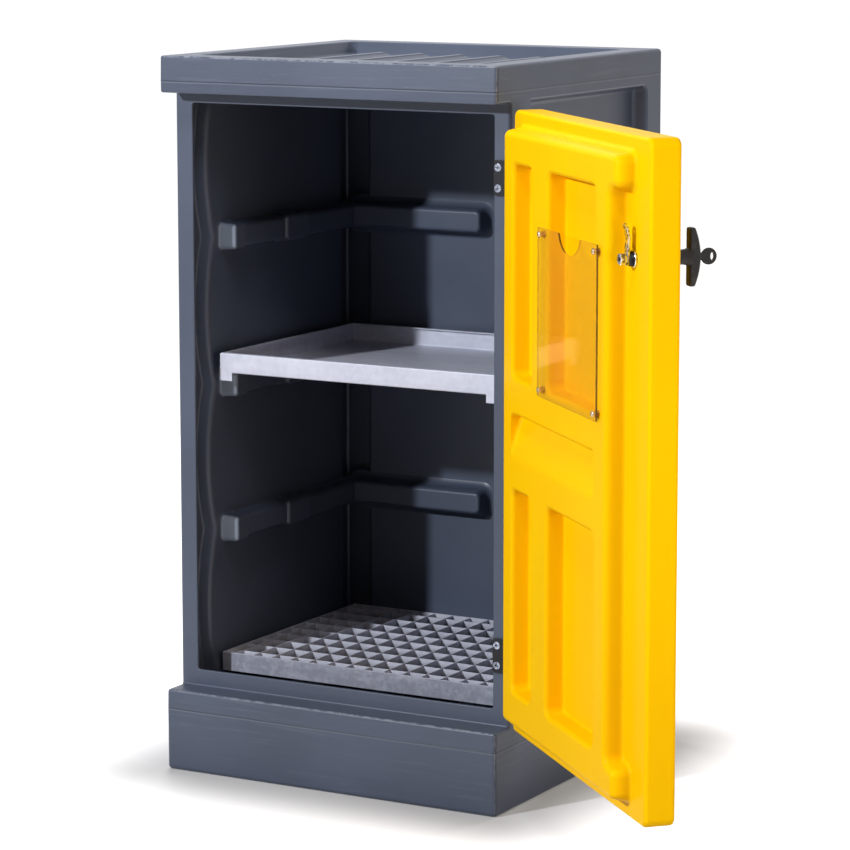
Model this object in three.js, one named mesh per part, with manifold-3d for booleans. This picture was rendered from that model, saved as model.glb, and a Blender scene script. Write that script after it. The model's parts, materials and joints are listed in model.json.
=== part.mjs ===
// A moulded plastic storage cabinet with a hinged door, a shelf tray and a grating over its sump.
//
// Millimetres, +Z up, front towards -Y. The origin is the centre of the base underside.
// The cabinet is drawn from its front left bottom corner. The door is drawn closed, from its hinge
// axis, with u measured along it from its hinge edge and w outwards from its inner face. Its group
// stands on the hinge axis and is swung open.

import * as THREE from 'three';
import { RoundedBoxGeometry } from 'three/addons/geometries/RoundedBoxGeometry.js';
import { mergeVertices } from 'three/addons/utils/BufferGeometryUtils.js';
import Module from 'manifold-3d';

const wasm = await Module();
wasm.setup();

// Driving dimensions

const gap = 0.3; // between pieces that rest on or lie in each other
const overrun = 3; // how far a cut reaches past the face that it opens
const edgeSteps = 2; // facets across a rounded edge that shows
const hiddenSteps = 1; // facets across a rounded edge inside a wall
const roundSides = 24;
const smallSides = 16; // of hinge knuckles, pins and screw heads
const bowSteps = 6; // facets along each bow of a side panel's front edge
const shankSides = 8;
const hexSides = 6;

const body = {
  width: 580,
  depth: 550,
  height: 1110,
  wall: 5,
  edgeRadius: 7,
  plinthHeight: 128,
  lidHeight: 56,
  setback: 43, // of the doorway's front behind the plinth and the lid
};
const doorway = {
  leftJamb: 31,
  rightJamb: 27,
  sill: 26, // above the plinth
  header: 17, // below the lid
  cornerRadius: 6,
};
const panel = {
  depth: 22, // of the sunken panels in the sides and the back
  frontPillar: 65, // at its widest, level with the ledges
  frontBow: 19, // of the side panels' front edges, forwards between those levels
  rearPillar: 55,
  backPillar: 60,
  edgeRadius: 9,
};
const tray = {
  sideRim: 45,
  frontRim: 43,
  backRim: 50,
  depth: 20,
  draft: 5,
  cornerRadius: 14,
};
const ridge = {
  count: 5,
  pitch: 71,
  width: 40,
  height: 9,
  slope: 14, // of its sides and ends, seen from above
  frontMargin: 22,
  backMargin: 65,
  cornerRadius: 15,
};
const ledge = {
  count: 3,
  lowestTop: 385.5,
  pitch: 230.5,
  height: 42,
  reach: 30, // out of the wall
  ribReach: 24,
  front: 118,
  frontBlock: 40,
  middleBlock: 65,
  middleBlockFrom: 276,
  backReach: 30,
  backHeight: 40,
  backEnd: 287, // of the left one, across the back wall
  backGap: 40, // between the left one and the right one
  edgeRadius: 8,
};
const post = {
  topRadius: 20, // of the hollow posts that carry the grating
  baseRadius: 34,
  across: 300,
  along: 240,
};
const grating = {
  clearance: 7, // to the sunken side panels, at each side
  frontGap: 61, // behind the front wall
  depth: 410,
  height: 29,
  seat: 140,
  band: 3,
  bar: 2,
  pitchAcross: 33.5,
  pitchAlong: 44.6,
};
const shelf = {
  clearance: 17, // to the sunken side panels, at each side
  front: 93,
  depth: 407,
  rim: 31,
  sheet: 1.5,
  leg: 22.5,
  legDrop: 12,
  lip: 8, // turned in along the top of the rim
};
const hinge = {
  beyondSide: 8.5, // of the pin, outside the cabinet's side
  beforeFace: 8, // of the pin, in front of the doorway's face
  openAngle: 136.33, // degrees
  belowTop: 102.5, // of the upper hinge's middle, below the door's top
  aboveBottom: 103.25, // of the lower hinge's middle, above the door's bottom
  leafHeight: 52,
  leaf: 3,
  leafGap: 1,
  knuckleRadius: 6.25,
  knuckleGap: 0.5,
  pinRadius: 3,
  pinPlay: 0.15,
  pinHead: 1.5,
  pinHeadRadius: 4.2,
  doorLeaf: 28, // along the door, from its hinge edge
  jambLeafFrom: 1, // from the doorway's edge
  screwSpacing: 30.4,
  jambScrew: 7.5, // from the doorway's edge
  doorScrew: 18, // from the door's hinge edge
};
const screw = {
  headRadius: 6,
  headHeight: 2.4,
  shankRadius: 2.5,
  length: 16,
  sunk: 0.2,
};
const door = {
  hingeInset: 12, // of its hinge edge inside the cabinet's side
  freeInset: 13,
  topGap: 6,
  bottomGap: 5,
  seatGap: 2, // to the doorway's face
  thickness: 44,
  wall: 4,
  edgeRadius: 8,
  rebateGap: 1, // round a hinge leaf that lies in the door
};
const frame = {
  height: 28, // of the raised frame on the door's inner face
  edgeRadius: 7,
  cornerRadius: 12,
  hingeMargin: 32,
  cornerMargin: 50, // from the free edge, at the top and the bottom
  freeMargin: 83, // from the free edge, beside the latch
  topMargin: 22.5,
  bottomMargin: 24,
  topCorner: 49.5,
  bottomCorner: 47,
};
const well = {
  hingeMargin: 79, // from the door's hinge edge
  narrowWidth: 83,
  rib: 68, // between the narrow wells and the wide ones
  freeMargin: 132,
  bottomMargin: 80,
  topMargin: 72,
  crossRib: 164, // between the lower wells and the upper ones
  edgeRadius: 7,
};
const groove = {
  hingeMargin: 75,
  freeMargin: 130,
  aboveMiddle: 27.5, // of its upper edge, above the door's middle
  depth: 19,
  flat: 6,
  ramp: 55,
};
const pocket = {
  overRib: 18.5, // past the wide well, towards the hinges
  overFrame: 29, // past the wide well, towards the latch
  belowWell: 7.5,
  height: 236,
  sheet: 3,
  standOff: 5,
  notchOffset: 9.75, // from the sheet's middle, towards the latch
  notchWidth: 85,
  notchDepth: 26.5,
  screwInset: 9.5,
  spacerRadius: 5,
  holeRadius: 2.4,
  screwRadius: 2,
  headRadius: 4.5,
  headTop: 3,
  headHeight: 2.4,
  screwLength: 16,
};
const latch = {
  freeMargin: 56.4,
  belowTop: 161.4, // below the door's top
  sleeveRadius: 9.8,
  sleeveInside: 8.8, // past the door's inner face
  boreRadius: 6.3,
  flangeRadius: 16,
  flangeFaceRadius: 14,
  flange: 4,
  nutRadius: 12.5,
  nut: 3,
  spindleRadius: 6,
  square: 7,
  squarePlay: 0.3,
};
const handle = {
  neckRadius: 10,
  neck: 26, // from the sleeve's flange to the bar
  bar: 78,
  barEnd: 8,
  barMiddle: 16,
  barWidth: 17,
  edgeRadius: 2.5,
};
const lever = {
  thickness: 3,
  width: 14,
  hubRadius: 9,
  rise: 47, // of its tip above the spindle
  kneeRise: 27,
  kneeOut: 5, // of its knee, towards the door
  tipIn: 3, // of its tip, away from the door
};
const nut = {
  radius: 8.5,
  height: 9,
  studRadius: 3,
  stud: 11,
};
const lock = {
  plugRadius: 6,
  plug: 14,
  slotWidth: 2.8,
  slotHeight: 8.6,
};
const key = {
  bladeThickness: 2.2,
  bladeHeight: 8,
  blade: 12,
  headRadius: 11.2,
  headThickness: 3.4,
  shoulder: 2,
  holeWidth: 5,
  holeHeight: 10.5,
  holeFromCentre: 4.4,
};

// Places worked out from them

const lidBottom = body.height - body.lidHeight;
const sillTop = body.plinthHeight + doorway.sill;
const doorwayTop = lidBottom - doorway.header;
const doorwayRight = body.width - doorway.rightJamb;
const cabinFloor = body.height - tray.depth;
const sideWall = panel.depth + body.wall; // inner face of a side, from the cabinet's side
const backWall = body.depth - sideWall;
const ledgeMiddles = Array.from(
  { length: ledge.count },
  (_, i) => ledge.lowestTop + i * ledge.pitch - ledge.height / 2,
);
const hingeAxis = [body.width + hinge.beyondSide, body.setback - hinge.beforeFace];
const doorHeight = lidBottom - body.plinthHeight - door.topGap - door.bottomGap;
const doorWidth = body.width - door.hingeInset - door.freeInset;
const doorBottom = body.plinthHeight + door.bottomGap;
const doorTop = doorBottom + doorHeight;
const hingeEdge = hinge.beyondSide + door.hingeInset; // from the hinge axis
const innerFace = hinge.beforeFace - door.seatGap; // from the hinge axis
const along = (u) => -(hingeEdge + u);
const outward = (w) => innerFace - w;
const doorMiddle = (doorBottom + doorTop) / 2;
const hingeHeights = { upper: doorTop - hinge.belowTop, lower: doorBottom + hinge.aboveBottom };
const narrowWell = [well.hingeMargin, well.hingeMargin + well.narrowWidth]; // along the door
const wideWell = [narrowWell[1] + well.rib, doorWidth - well.freeMargin];
const lowerWell = [doorBottom + well.bottomMargin, doorMiddle - well.crossRib / 2];
const upperWell = [doorMiddle + well.crossRib / 2, doorTop - well.topMargin];
const latchX = along(doorWidth - latch.freeMargin);
const pocketFrom = wideWell[0] - pocket.overRib;
const pocketTo = wideWell[1] + pocket.overFrame;
const pocketBottom = upperWell[0] - pocket.belowWell;
const latchHeight = doorTop - latch.belowTop;

// Materials

const finish = (color, roughness, metalness = 0) =>
  new THREE.MeshStandardMaterial({ color, roughness, metalness });
const slatePlastic = finish(0x4d525c, 0.55);
const yellowPlastic = finish(0xffc400, 0.5);
const galvanised = finish(0xa9acb2, 0.42, 0.9);
const blackPlastic = finish(0x1c1d20, 0.5);
const blackMetal = finish(0x17181a, 0.45, 0.6);
const chrome = finish(0xc9ccd0, 0.18, 1);
const acrylic = new THREE.MeshStandardMaterial({
  color: 0xf4f6f6,
  roughness: 0.08,
  transparent: true,
  opacity: 0.3,
});

// Solids and their joins and cuts

function solidOf(geometry) {
  const bare = geometry.clone();
  bare.deleteAttribute('normal');
  bare.deleteAttribute('uv');
  const merged = mergeVertices(bare);
  const mesh = new wasm.Mesh({
    numProp: 3,
    vertProperties: Float32Array.from(merged.attributes.position.array),
    triVerts: Uint32Array.from(merged.index.array),
  });
  mesh.merge();
  return new wasm.Manifold(mesh);
}

function geometryOf(solid) {
  const { numProp, vertProperties, triVerts } = solid.getMesh();
  const geometry = new THREE.BufferGeometry();
  geometry.setAttribute('position', new THREE.BufferAttribute(vertProperties, numProp));
  geometry.setIndex(new THREE.BufferAttribute(triVerts, 1));
  geometry.computeVertexNormals();
  return geometry;
}

const joined = (...geometries) => geometries.map(solidOf).reduce((all, next) => all.add(next));
const cutBy = (solid, ...tools) => tools.map(solidOf).reduce((all, next) => all.subtract(next), solid);

function block([x0, x1], [y0, y1], [z0, z1], radius = 0, steps = edgeSteps) {
  const size = [x1 - x0, y1 - y0, z1 - z0];
  const geometry = radius > 0
    ? new RoundedBoxGeometry(...size, steps, radius)
    : new THREE.BoxGeometry(...size);
  return geometry.translate((x0 + x1) / 2, (y0 + y1) / 2, (z0 + z1) / 2);
}

// A round piece along Y, with its axis at x and z
function roundAlongY(x, z, [y0, y1], radius, endRadius = radius, sides = roundSides) {
  return new THREE.CylinderGeometry(endRadius, radius, y1 - y0, sides)
    .translate(x, (y0 + y1) / 2, z);
}

// A round piece along Z, with its axis at x and y
function roundAlongZ(x, y, [z0, z1], radius, topRadius = radius, sides = roundSides) {
  return new THREE.CylinderGeometry(topRadius, radius, z1 - z0, sides)
    .rotateX(Math.PI / 2)
    .translate(x, y, (z0 + z1) / 2);
}

// A closed outline through corner points, each corner rounded
function outline(corners, radius) {
  const points = corners.map(([a, b]) => new THREE.Vector2(a, b));
  const shape = new THREE.Shape();
  points.forEach((corner, i) => {
    const before = points[(i + points.length - 1) % points.length];
    const after = points[(i + 1) % points.length];
    const start = corner.clone().add(before.clone().sub(corner).setLength(radius));
    const end = corner.clone().add(after.clone().sub(corner).setLength(radius));
    if (i === 0) shape.moveTo(start.x, start.y);
    else shape.lineTo(start.x, start.y);
    if (radius > 0) shape.quadraticCurveTo(corner.x, corner.y, end.x, end.y);
  });
  shape.closePath();
  return shape;
}

const rectangle = ([a0, a1], [b0, b1]) => [[a0, b0], [a1, b0], [a1, b1], [a0, b1]];

// A shape drawn in X and Z, extruded along Y from y0 to y1, with its edges rounded by bevel
function extrudedAlongY(shape, [y0, y1], bevel = 0, steps = edgeSteps) {
  return new THREE.ExtrudeGeometry(shape, {
    depth: y1 - y0 - 2 * bevel,
    bevelEnabled: bevel > 0,
    bevelThickness: bevel,
    bevelSize: bevel,
    bevelOffset: -bevel,
    bevelSegments: steps,
    curveSegments: steps,
  }).rotateX(Math.PI / 2).translate(0, y1 - bevel, 0);
}

// A shape drawn in Y and Z, extruded along X from x0 to x1
function extrudedAlongX(shape, [x0, x1], bevel = 0, steps = edgeSteps) {
  return new THREE.ExtrudeGeometry(shape, {
    depth: x1 - x0 - 2 * bevel,
    bevelEnabled: bevel > 0,
    bevelThickness: bevel,
    bevelSize: bevel,
    bevelOffset: -bevel,
    bevelSegments: steps,
    curveSegments: steps,
  }).rotateX(Math.PI / 2).rotateZ(Math.PI / 2).translate(x0 + bevel, 0, 0);
}

// A drafted block: its outline in X and Y is full from z0 to z1, and above and below them it draws in
// by slope over rise
function draftedAlongZ(shape, [z0, z1], rise, slope) {
  return new THREE.ExtrudeGeometry(shape, {
    depth: z1 - z0,
    bevelThickness: rise,
    bevelSize: slope,
    bevelOffset: -slope,
    bevelSegments: 1,
    curveSegments: edgeSteps,
  }).translate(0, 0, z0);
}

function part(name, geometry, material) {
  const mesh = new THREE.Mesh(geometry, material);
  mesh.name = name;
  return mesh;
}

function placed(mesh, x, y, z) {
  mesh.position.set(x, y, z);
  return mesh;
}

// Cabinet body. Each form below is given an inset: none for the outer skin, one wall for the inner one.

const leftAndRight = (range) => [range, [body.width - range[1], body.width - range[0]]];

// The outline of a sunken side panel in Y and Z. Its front edge bows forwards from level to level.
function sidePanelOutline([front, rear], levels, radius) {
  const low = levels[0];
  const high = levels[levels.length - 1];
  const shape = new THREE.Shape();
  shape.moveTo(rear - radius, low);
  shape.quadraticCurveTo(rear, low, rear, low + radius);
  shape.lineTo(rear, high - radius);
  shape.quadraticCurveTo(rear, high, rear - radius, high);
  shape.lineTo(front, high);
  for (let i = levels.length - 1; i > 0; i -= 1) {
    for (let k = 1; k <= bowSteps; k += 1) {
      const share = k / bowSteps;
      const bow = 4 * panel.frontBow * share * (1 - share);
      shape.lineTo(front - bow, levels[i] + (levels[i - 1] - levels[i]) * share);
    }
  }
  shape.closePath();
  return shape;
}

function sunkenPanels(inset) {
  const radius = panel.edgeRadius + inset;
  const height = [body.plinthHeight - inset, lidBottom + inset];
  const levels = [height[0], ...ledgeMiddles, height[1]];
  const front = body.setback + panel.frontPillar - inset;
  const rear = body.depth - panel.rearPillar + inset;
  const deep = panel.depth + inset;
  const shape = sidePanelOutline([front, rear], levels, radius);
  const sides = leftAndRight([-deep, deep]).map((x) => extrudedAlongX(shape, x, radius));
  const across = [panel.backPillar - inset, body.width - panel.backPillar + inset];
  const back = block(across, [body.depth - deep, body.depth + deep], height, radius);
  return [...sides, back];
}

function ledgeForms(inset) {
  const radius = inset > 0 ? ledge.edgeRadius : 0; // the dents outside have square edges
  const blockEdge = [radius / 2, edgeSteps];
  const ribEdge = [0, hiddenSteps];
  const shrink = body.wall - inset;
  const far = sideWall + ledge.reach - shrink;
  const ribFar = sideWall + ledge.ribReach - shrink;
  const rear = body.depth - panel.rearPillar + inset;
  const forms = [];
  for (let i = 0; i < ledge.count; i += 1) {
    const top = ledge.lowestTop + i * ledge.pitch;
    const height = [top - ledge.height + shrink, top - shrink];
    const backHeight = [top - ledge.backHeight + shrink, top - shrink];
    const front = ledge.front + shrink;
    const stretches = inset > 0
      ? [
        [far, [front, front + ledge.frontBlock], blockEdge],
        [ribFar, [front + ledge.edgeRadius, rear], ribEdge],
        [far, [ledge.middleBlockFrom, ledge.middleBlockFrom + ledge.middleBlock], blockEdge],
      ]
      : [[ribFar, [front, rear], ribEdge]];
    for (const [reach, y, edge] of stretches) {
      for (const x of leftAndRight([0, reach])) {
        forms.push(extrudedAlongY(outline(rectangle(x, height), radius), y, ...edge));
      }
    }
    const acrossLeft = [panel.backPillar - inset, ledge.backEnd - shrink];
    const acrossRight = [ledge.backEnd + ledge.backGap + shrink, body.width - panel.backPillar + inset];
    const backFront = backWall - ledge.backReach + shrink;
    for (const x of [acrossLeft, acrossRight]) {
      const shape = outline(rectangle([backFront, body.depth], backHeight), radius);
      forms.push(extrudedAlongX(shape, x, radius / 2, hiddenSteps));
    }
  }
  return forms;
}

function gratingPosts(inset) {
  const shrink = body.wall - inset;
  const top = grating.seat - gap - shrink;
  const centreY = body.setback + body.wall + grating.frontGap + grating.depth / 2;
  const posts = [];
  for (const side of [-1, 1]) {
    for (const end of [-1, 1]) {
      posts.push(roundAlongZ(
        body.width / 2 + side * post.across / 2,
        centreY + end * post.along / 2,
        [-overrun, top],
        post.baseRadius - shrink,
        post.topRadius - shrink,
        smallSides,
      ));
    }
  }
  return posts;
}

function sunkenTop(inset) {
  const x = [tray.sideRim - inset, body.width - tray.sideRim + inset];
  const y = [tray.frontRim - inset, body.depth - tray.backRim + inset];
  const shape = outline(rectangle(x, y), tray.cornerRadius + inset);
  return draftedAlongZ(shape, [body.height, body.height + overrun], tray.depth + inset, tray.draft);
}

function ridges(inset) {
  const shapes = [];
  for (let i = 0; i < ridge.count; i += 1) {
    const centre = body.width / 2 + (i - (ridge.count - 1) / 2) * ridge.pitch;
    const half = ridge.width / 2 - inset;
    const front = tray.frontRim + ridge.frontMargin + inset;
    const back = body.depth - tray.backRim - ridge.backMargin - inset;
    const corners = rectangle([centre - half, centre + half], [front, back]);
    const shape = outline(corners, ridge.cornerRadius - inset);
    const base = cabinFloor - inset - ridge.height;
    shapes.push(draftedAlongZ(shape, [base, cabinFloor - inset], ridge.height, ridge.slope - inset));
  }
  return shapes;
}

function cabinetForm(inset) {
  const edge = [body.edgeRadius - inset, inset > 0 ? hiddenSteps : edgeSteps];
  const x = [inset, body.width - inset];
  const y = [inset, body.depth - inset];
  const blocks = [
    block(x, [body.setback + inset, body.depth - inset], [inset, body.height - inset], ...edge),
    block(x, y, [inset, body.plinthHeight - inset], ...edge),
    block(x, y, [lidBottom + inset, body.height - inset], ...edge),
  ];
  const hollows = [
    ...sunkenPanels(inset),
    ...ledgeForms(inset),
    ...gratingPosts(inset),
    sunkenTop(inset),
  ];
  return cutBy(joined(...blocks), ...hollows).add(joined(...ridges(inset)));
}

function doorwayCut() {
  const corners = rectangle([doorway.leftJamb, doorwayRight], [sillTop, doorwayTop]);
  const y = [body.setback - overrun, body.setback + body.wall + overrun];
  return extrudedAlongY(outline(corners, doorway.cornerRadius), y);
}

const screwHeights = Object.values(hingeHeights)
  .flatMap((z) => [z + hinge.screwSpacing / 2, z - hinge.screwSpacing / 2]);

function cabinetBody() {
  const jambHoles = screwHeights.map((z) => roundAlongY(
    doorwayRight + hinge.jambScrew,
    z,
    [body.setback - overrun, body.setback + body.wall + overrun],
    screw.shankRadius + gap,
    screw.shankRadius + gap,
    shankSides,
  ));
  const shell = cabinetForm(0).subtract(cabinetForm(body.wall));
  return part('cabinet_body', geometryOf(cutBy(shell, doorwayCut(), ...jambHoles)), slatePlastic);
}

// Sump grating: a band frame round press-locked bars that cross each other

function barPlaces(from, to, pitch) {
  const count = 2 * Math.floor((to - from) / 2 / pitch) + 1;
  const middle = (from + to) / 2;
  return Array.from({ length: count }, (_, i) => middle + (i - (count - 1) / 2) * pitch);
}

// The clear spaces between the inner faces of a frame and the bars in it
function spaces(low, high, pitch) {
  const bars = barPlaces(low, high, pitch).flatMap((at) => [at - grating.bar / 2, at + grating.bar / 2]);
  const edges = [low, ...bars, high];
  const pairs = [];
  for (let i = 0; i < edges.length; i += 2) pairs.push([edges[i], edges[i + 1]]);
  return pairs;
}

function sumpGrating() {
  const x = [sideWall + grating.clearance, body.width - sideWall - grating.clearance];
  const front = body.setback + body.wall + grating.frontGap;
  const y = [front, front + grating.depth];
  const z = [grating.seat, grating.seat + grating.height];
  const innerX = [x[0] + grating.band, x[1] - grating.band];
  const innerY = [y[0] + grating.band, y[1] - grating.band];
  const columns = spaces(...innerX, grating.pitchAcross);
  const rows = spaces(...innerY, grating.pitchAlong);
  const cells = columns.flatMap((across) => rows.map((deep) =>
    block(across, deep, [z[0] - overrun, z[1] + overrun])));
  const solid = cutBy(solidOf(block(x, y, z)), ...cells);
  return part('sump_grating', geometryOf(solid), galvanised);
}

// Shelf tray: folded sheet with an upstand rim, a turned-in lip and a leg at each front corner

function shelfTray() {
  const x = [sideWall + shelf.clearance, body.width - sideWall - shelf.clearance];
  const y = [shelf.front, shelf.front + shelf.depth];
  const seat = ledge.lowestTop + ledge.pitch + gap;
  const z = [seat, seat + shelf.rim];
  const inside = (range, by) => [range[0] + by, range[1] - by];
  const hollow = block(
    inside(x, shelf.sheet),
    inside(y, shelf.sheet),
    [z[0] + shelf.sheet, z[1] - shelf.sheet],
  );
  const mouth = block(
    inside(x, shelf.lip),
    inside(y, shelf.lip),
    [z[0] + shelf.sheet, z[1] + overrun],
  );
  const legs = [[x[0], x[0] + shelf.leg], [x[1] - shelf.leg, x[1]]].map((across) =>
    block(across, [y[0], y[0] + shelf.sheet], [z[0] - shelf.legDrop, z[1] - shelf.sheet]));
  const solid = cutBy(joined(block(x, y, z)), hollow, mouth).add(joined(...legs));
  return part('shelf_tray', geometryOf(solid), galvanised);
}

// Screws: a countersunk head on a shank, drawn from the head's face along +Y

function countersunkScrew() {
  const shank = roundAlongY(0, 0, [0, screw.length], screw.shankRadius, screw.shankRadius, shankSides);
  const head = roundAlongY(0, 0, [0, screw.headHeight], screw.headRadius, screw.shankRadius, smallSides);
  return geometryOf(joined(head, shank));
}

// The hole that such a screw takes in a leaf, with the leaf's face at y and the shank going in along turn
function countersink(x, z, y, turn) {
  const head = [y - turn * overrun, y + turn * (screw.sunk + gap)].sort((a, b) => a - b);
  const cone = [y + turn * (screw.sunk + gap), y + turn * (screw.sunk + gap + screw.headHeight)];
  const shank = [y - turn * overrun, y + turn * (hinge.leaf + overrun)].sort((a, b) => a - b);
  const wide = screw.headRadius + gap;
  const narrow = screw.shankRadius + gap;
  const taper = turn > 0
    ? roundAlongY(x, z, cone, wide, narrow, smallSides)
    : roundAlongY(x, z, [cone[1], cone[0]], narrow, wide, smallSides);
  return [
    roundAlongY(x, z, head, wide, wide, smallSides),
    taper,
    roundAlongY(x, z, shank, narrow, narrow, shankSides),
  ];
}

// Hinges, drawn from the hinge axis at the middle of their height. Knuckles alternate, and the
// cabinet's leaf has the outer two.

const knuckleHeight = (hinge.leafHeight - 2 * hinge.knuckleGap) / 3;
const jambLeafY = hinge.beforeFace - gap;
const doorLeafY = jambLeafY - hinge.leaf - hinge.leafGap;

function knuckles(levels) {
  return levels.map((level) => {
    const middle = level * (knuckleHeight + hinge.knuckleGap);
    const height = [middle - knuckleHeight / 2, middle + knuckleHeight / 2];
    return roundAlongZ(0, 0, height, hinge.knuckleRadius, hinge.knuckleRadius, smallSides);
  });
}

function bridges(levels, y, reach) {
  return levels.map((level) => {
    const middle = level * (knuckleHeight + hinge.knuckleGap);
    return block([reach, 0], y, [middle - knuckleHeight / 2, middle + knuckleHeight / 2]);
  });
}

function pinBore() {
  const half = hinge.leafHeight / 2 + overrun;
  const radius = hinge.pinRadius + hinge.pinPlay;
  return roundAlongZ(0, 0, [-half, half], radius, radius, smallSides);
}

function leafSolid(levels, [x0, x1], y, holes) {
  const half = hinge.leafHeight / 2;
  const plate = block([x0, x1], y, [-half, half]);
  return cutBy(joined(plate, ...knuckles(levels), ...bridges(levels, y, x1)), pinBore(), ...holes);
}

function jambLeaf() {
  const edge = -(hinge.beyondSide + doorway.rightJamb);
  const clear = -(hinge.knuckleRadius + hinge.knuckleGap);
  const y = [jambLeafY - hinge.leaf, jambLeafY];
  const holes = [1, -1].flatMap((side) =>
    countersink(edge + hinge.jambScrew, side * hinge.screwSpacing / 2, y[0], 1));
  return geometryOf(leafSolid([-1, 1], [edge + hinge.jambLeafFrom, clear], y, holes));
}

function doorLeaf() {
  const clear = -(hinge.knuckleRadius + hinge.knuckleGap);
  const y = [doorLeafY - hinge.leaf, doorLeafY];
  const holes = [1, -1].flatMap((side) =>
    countersink(along(hinge.doorScrew), side * hinge.screwSpacing / 2, y[1], -1));
  return geometryOf(leafSolid([0], [along(hinge.doorLeaf), clear], y, holes));
}

function hingePin() {
  const half = hinge.leafHeight / 2 + gap;
  const shaft = roundAlongZ(0, 0, [-half, half], hinge.pinRadius, hinge.pinRadius, smallSides);
  const ends = [half, half + hinge.pinHead];
  const head = roundAlongZ(0, 0, ends, hinge.pinHeadRadius, hinge.pinHeadRadius, smallSides);
  return geometryOf(joined(shaft, head));
}

// Door. Its forms take an inset too: none for the outer skin, one wall for the inner one.

function frameCorners(inset) {
  const free = along(doorWidth - frame.freeMargin - inset);
  const freeCorner = along(doorWidth - frame.cornerMargin - inset);
  const hingeSide = along(frame.hingeMargin + inset);
  const bottom = doorBottom + frame.bottomMargin + inset;
  const top = doorTop - frame.topMargin - inset;
  const bottomStep = bottom + frame.bottomCorner - 2 * inset;
  const topStep = top - frame.topCorner + 2 * inset;
  return [
    [hingeSide, bottom],
    [hingeSide, top],
    [freeCorner, top],
    [freeCorner, topStep],
    [free, topStep],
    [free, bottomStep],
    [freeCorner, bottomStep],
    [freeCorner, bottom],
  ];
}

function wells(inset, steps) {
  const outer = outward(-frame.height) + overrun + well.edgeRadius;
  const forms = [];
  for (const [from, to] of [narrowWell, wideWell]) {
    for (const [low, high] of [lowerWell, upperWell]) {
      forms.push(block(
        [along(to + inset), along(from - inset)],
        [outward(inset), outer],
        [low - inset, high + inset],
        well.edgeRadius,
        steps,
      ));
    }
  }
  return forms;
}

function grooveForm(inset) {
  const face = -frame.height - overrun;
  const deep = groove.depth - frame.height + inset;
  const top = doorMiddle + groove.aboveMiddle;
  const bottom = top - groove.flat;
  const rampEnd = bottom - groove.ramp * (groove.depth + overrun) / groove.depth;
  const corners = [
    [outward(face), top + inset],
    [outward(deep), top + inset],
    [outward(deep), bottom - inset],
    [outward(face), rampEnd - inset],
  ];
  const x = [along(doorWidth - groove.freeMargin + inset), along(groove.hingeMargin - inset)];
  return extrudedAlongX(outline(corners, 0), x);
}

function leafRebates(inset) {
  return Object.values(hingeHeights).map((z) => {
    const half = hinge.leafHeight / 2 + door.rebateGap + inset;
    return block(
      [along(hinge.doorLeaf + door.rebateGap + inset), along(-overrun)],
      [doorLeafY - hinge.leaf - gap - inset, outward(-overrun)],
      [z - half, z + half],
    );
  });
}

function doorForm(inset) {
  const steps = inset > 0 ? hiddenSteps : edgeSteps;
  const slab = block(
    [along(doorWidth - inset), along(inset)],
    [outward(door.thickness - inset), outward(inset)],
    [doorBottom + inset, doorTop - inset],
    door.edgeRadius - inset,
    steps,
  );
  const raised = extrudedAlongY(
    outline(frameCorners(inset), frame.cornerRadius),
    [outward(door.thickness / 2), outward(inset - frame.height)],
    frame.edgeRadius - inset,
    steps,
  );
  const hollows = [...wells(inset, steps), grooveForm(inset), ...leafRebates(inset)];
  return cutBy(joined(slab, raised), ...hollows);
}

const pocketScrews = [pocketFrom + pocket.screwInset, pocketTo - pocket.screwInset]
  .flatMap((u) => [pocketBottom + pocket.screwInset, pocketBottom + pocket.height - pocket.screwInset]
    .map((z) => [u, z]));

function doorPanel() {
  const sleeveHole = roundAlongY(
    latchX,
    latchHeight,
    [outward(door.thickness) - overrun, outward(0) + overrun],
    latch.sleeveRadius + gap,
  );
  const leafHoles = screwHeights.map((z) => roundAlongY(
    along(hinge.doorScrew),
    z,
    [doorLeafY - hinge.leaf - door.wall - overrun, doorLeafY],
    screw.shankRadius + gap,
    screw.shankRadius + gap,
    shankSides,
  ));
  const pocketHoles = pocketScrews.map(([u, z]) => roundAlongY(
    along(u),
    z,
    [outward(door.wall - frame.height) - overrun, outward(-frame.height) + overrun],
    pocket.holeRadius,
    pocket.holeRadius,
    shankSides,
  ));
  const shell = doorForm(0).subtract(doorForm(door.wall));
  const solid = cutBy(shell, sleeveHole, ...leafHoles, ...pocketHoles);
  return part('door_panel', geometryOf(solid), yellowPlastic);
}

// Document pocket: a clear sheet held off the raised frame by spacers

const spacerFace = outward(-frame.height) + gap;
const sheetBack = spacerFace + pocket.standOff - gap;
const screwSeat = sheetBack + pocket.sheet + gap;

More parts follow.
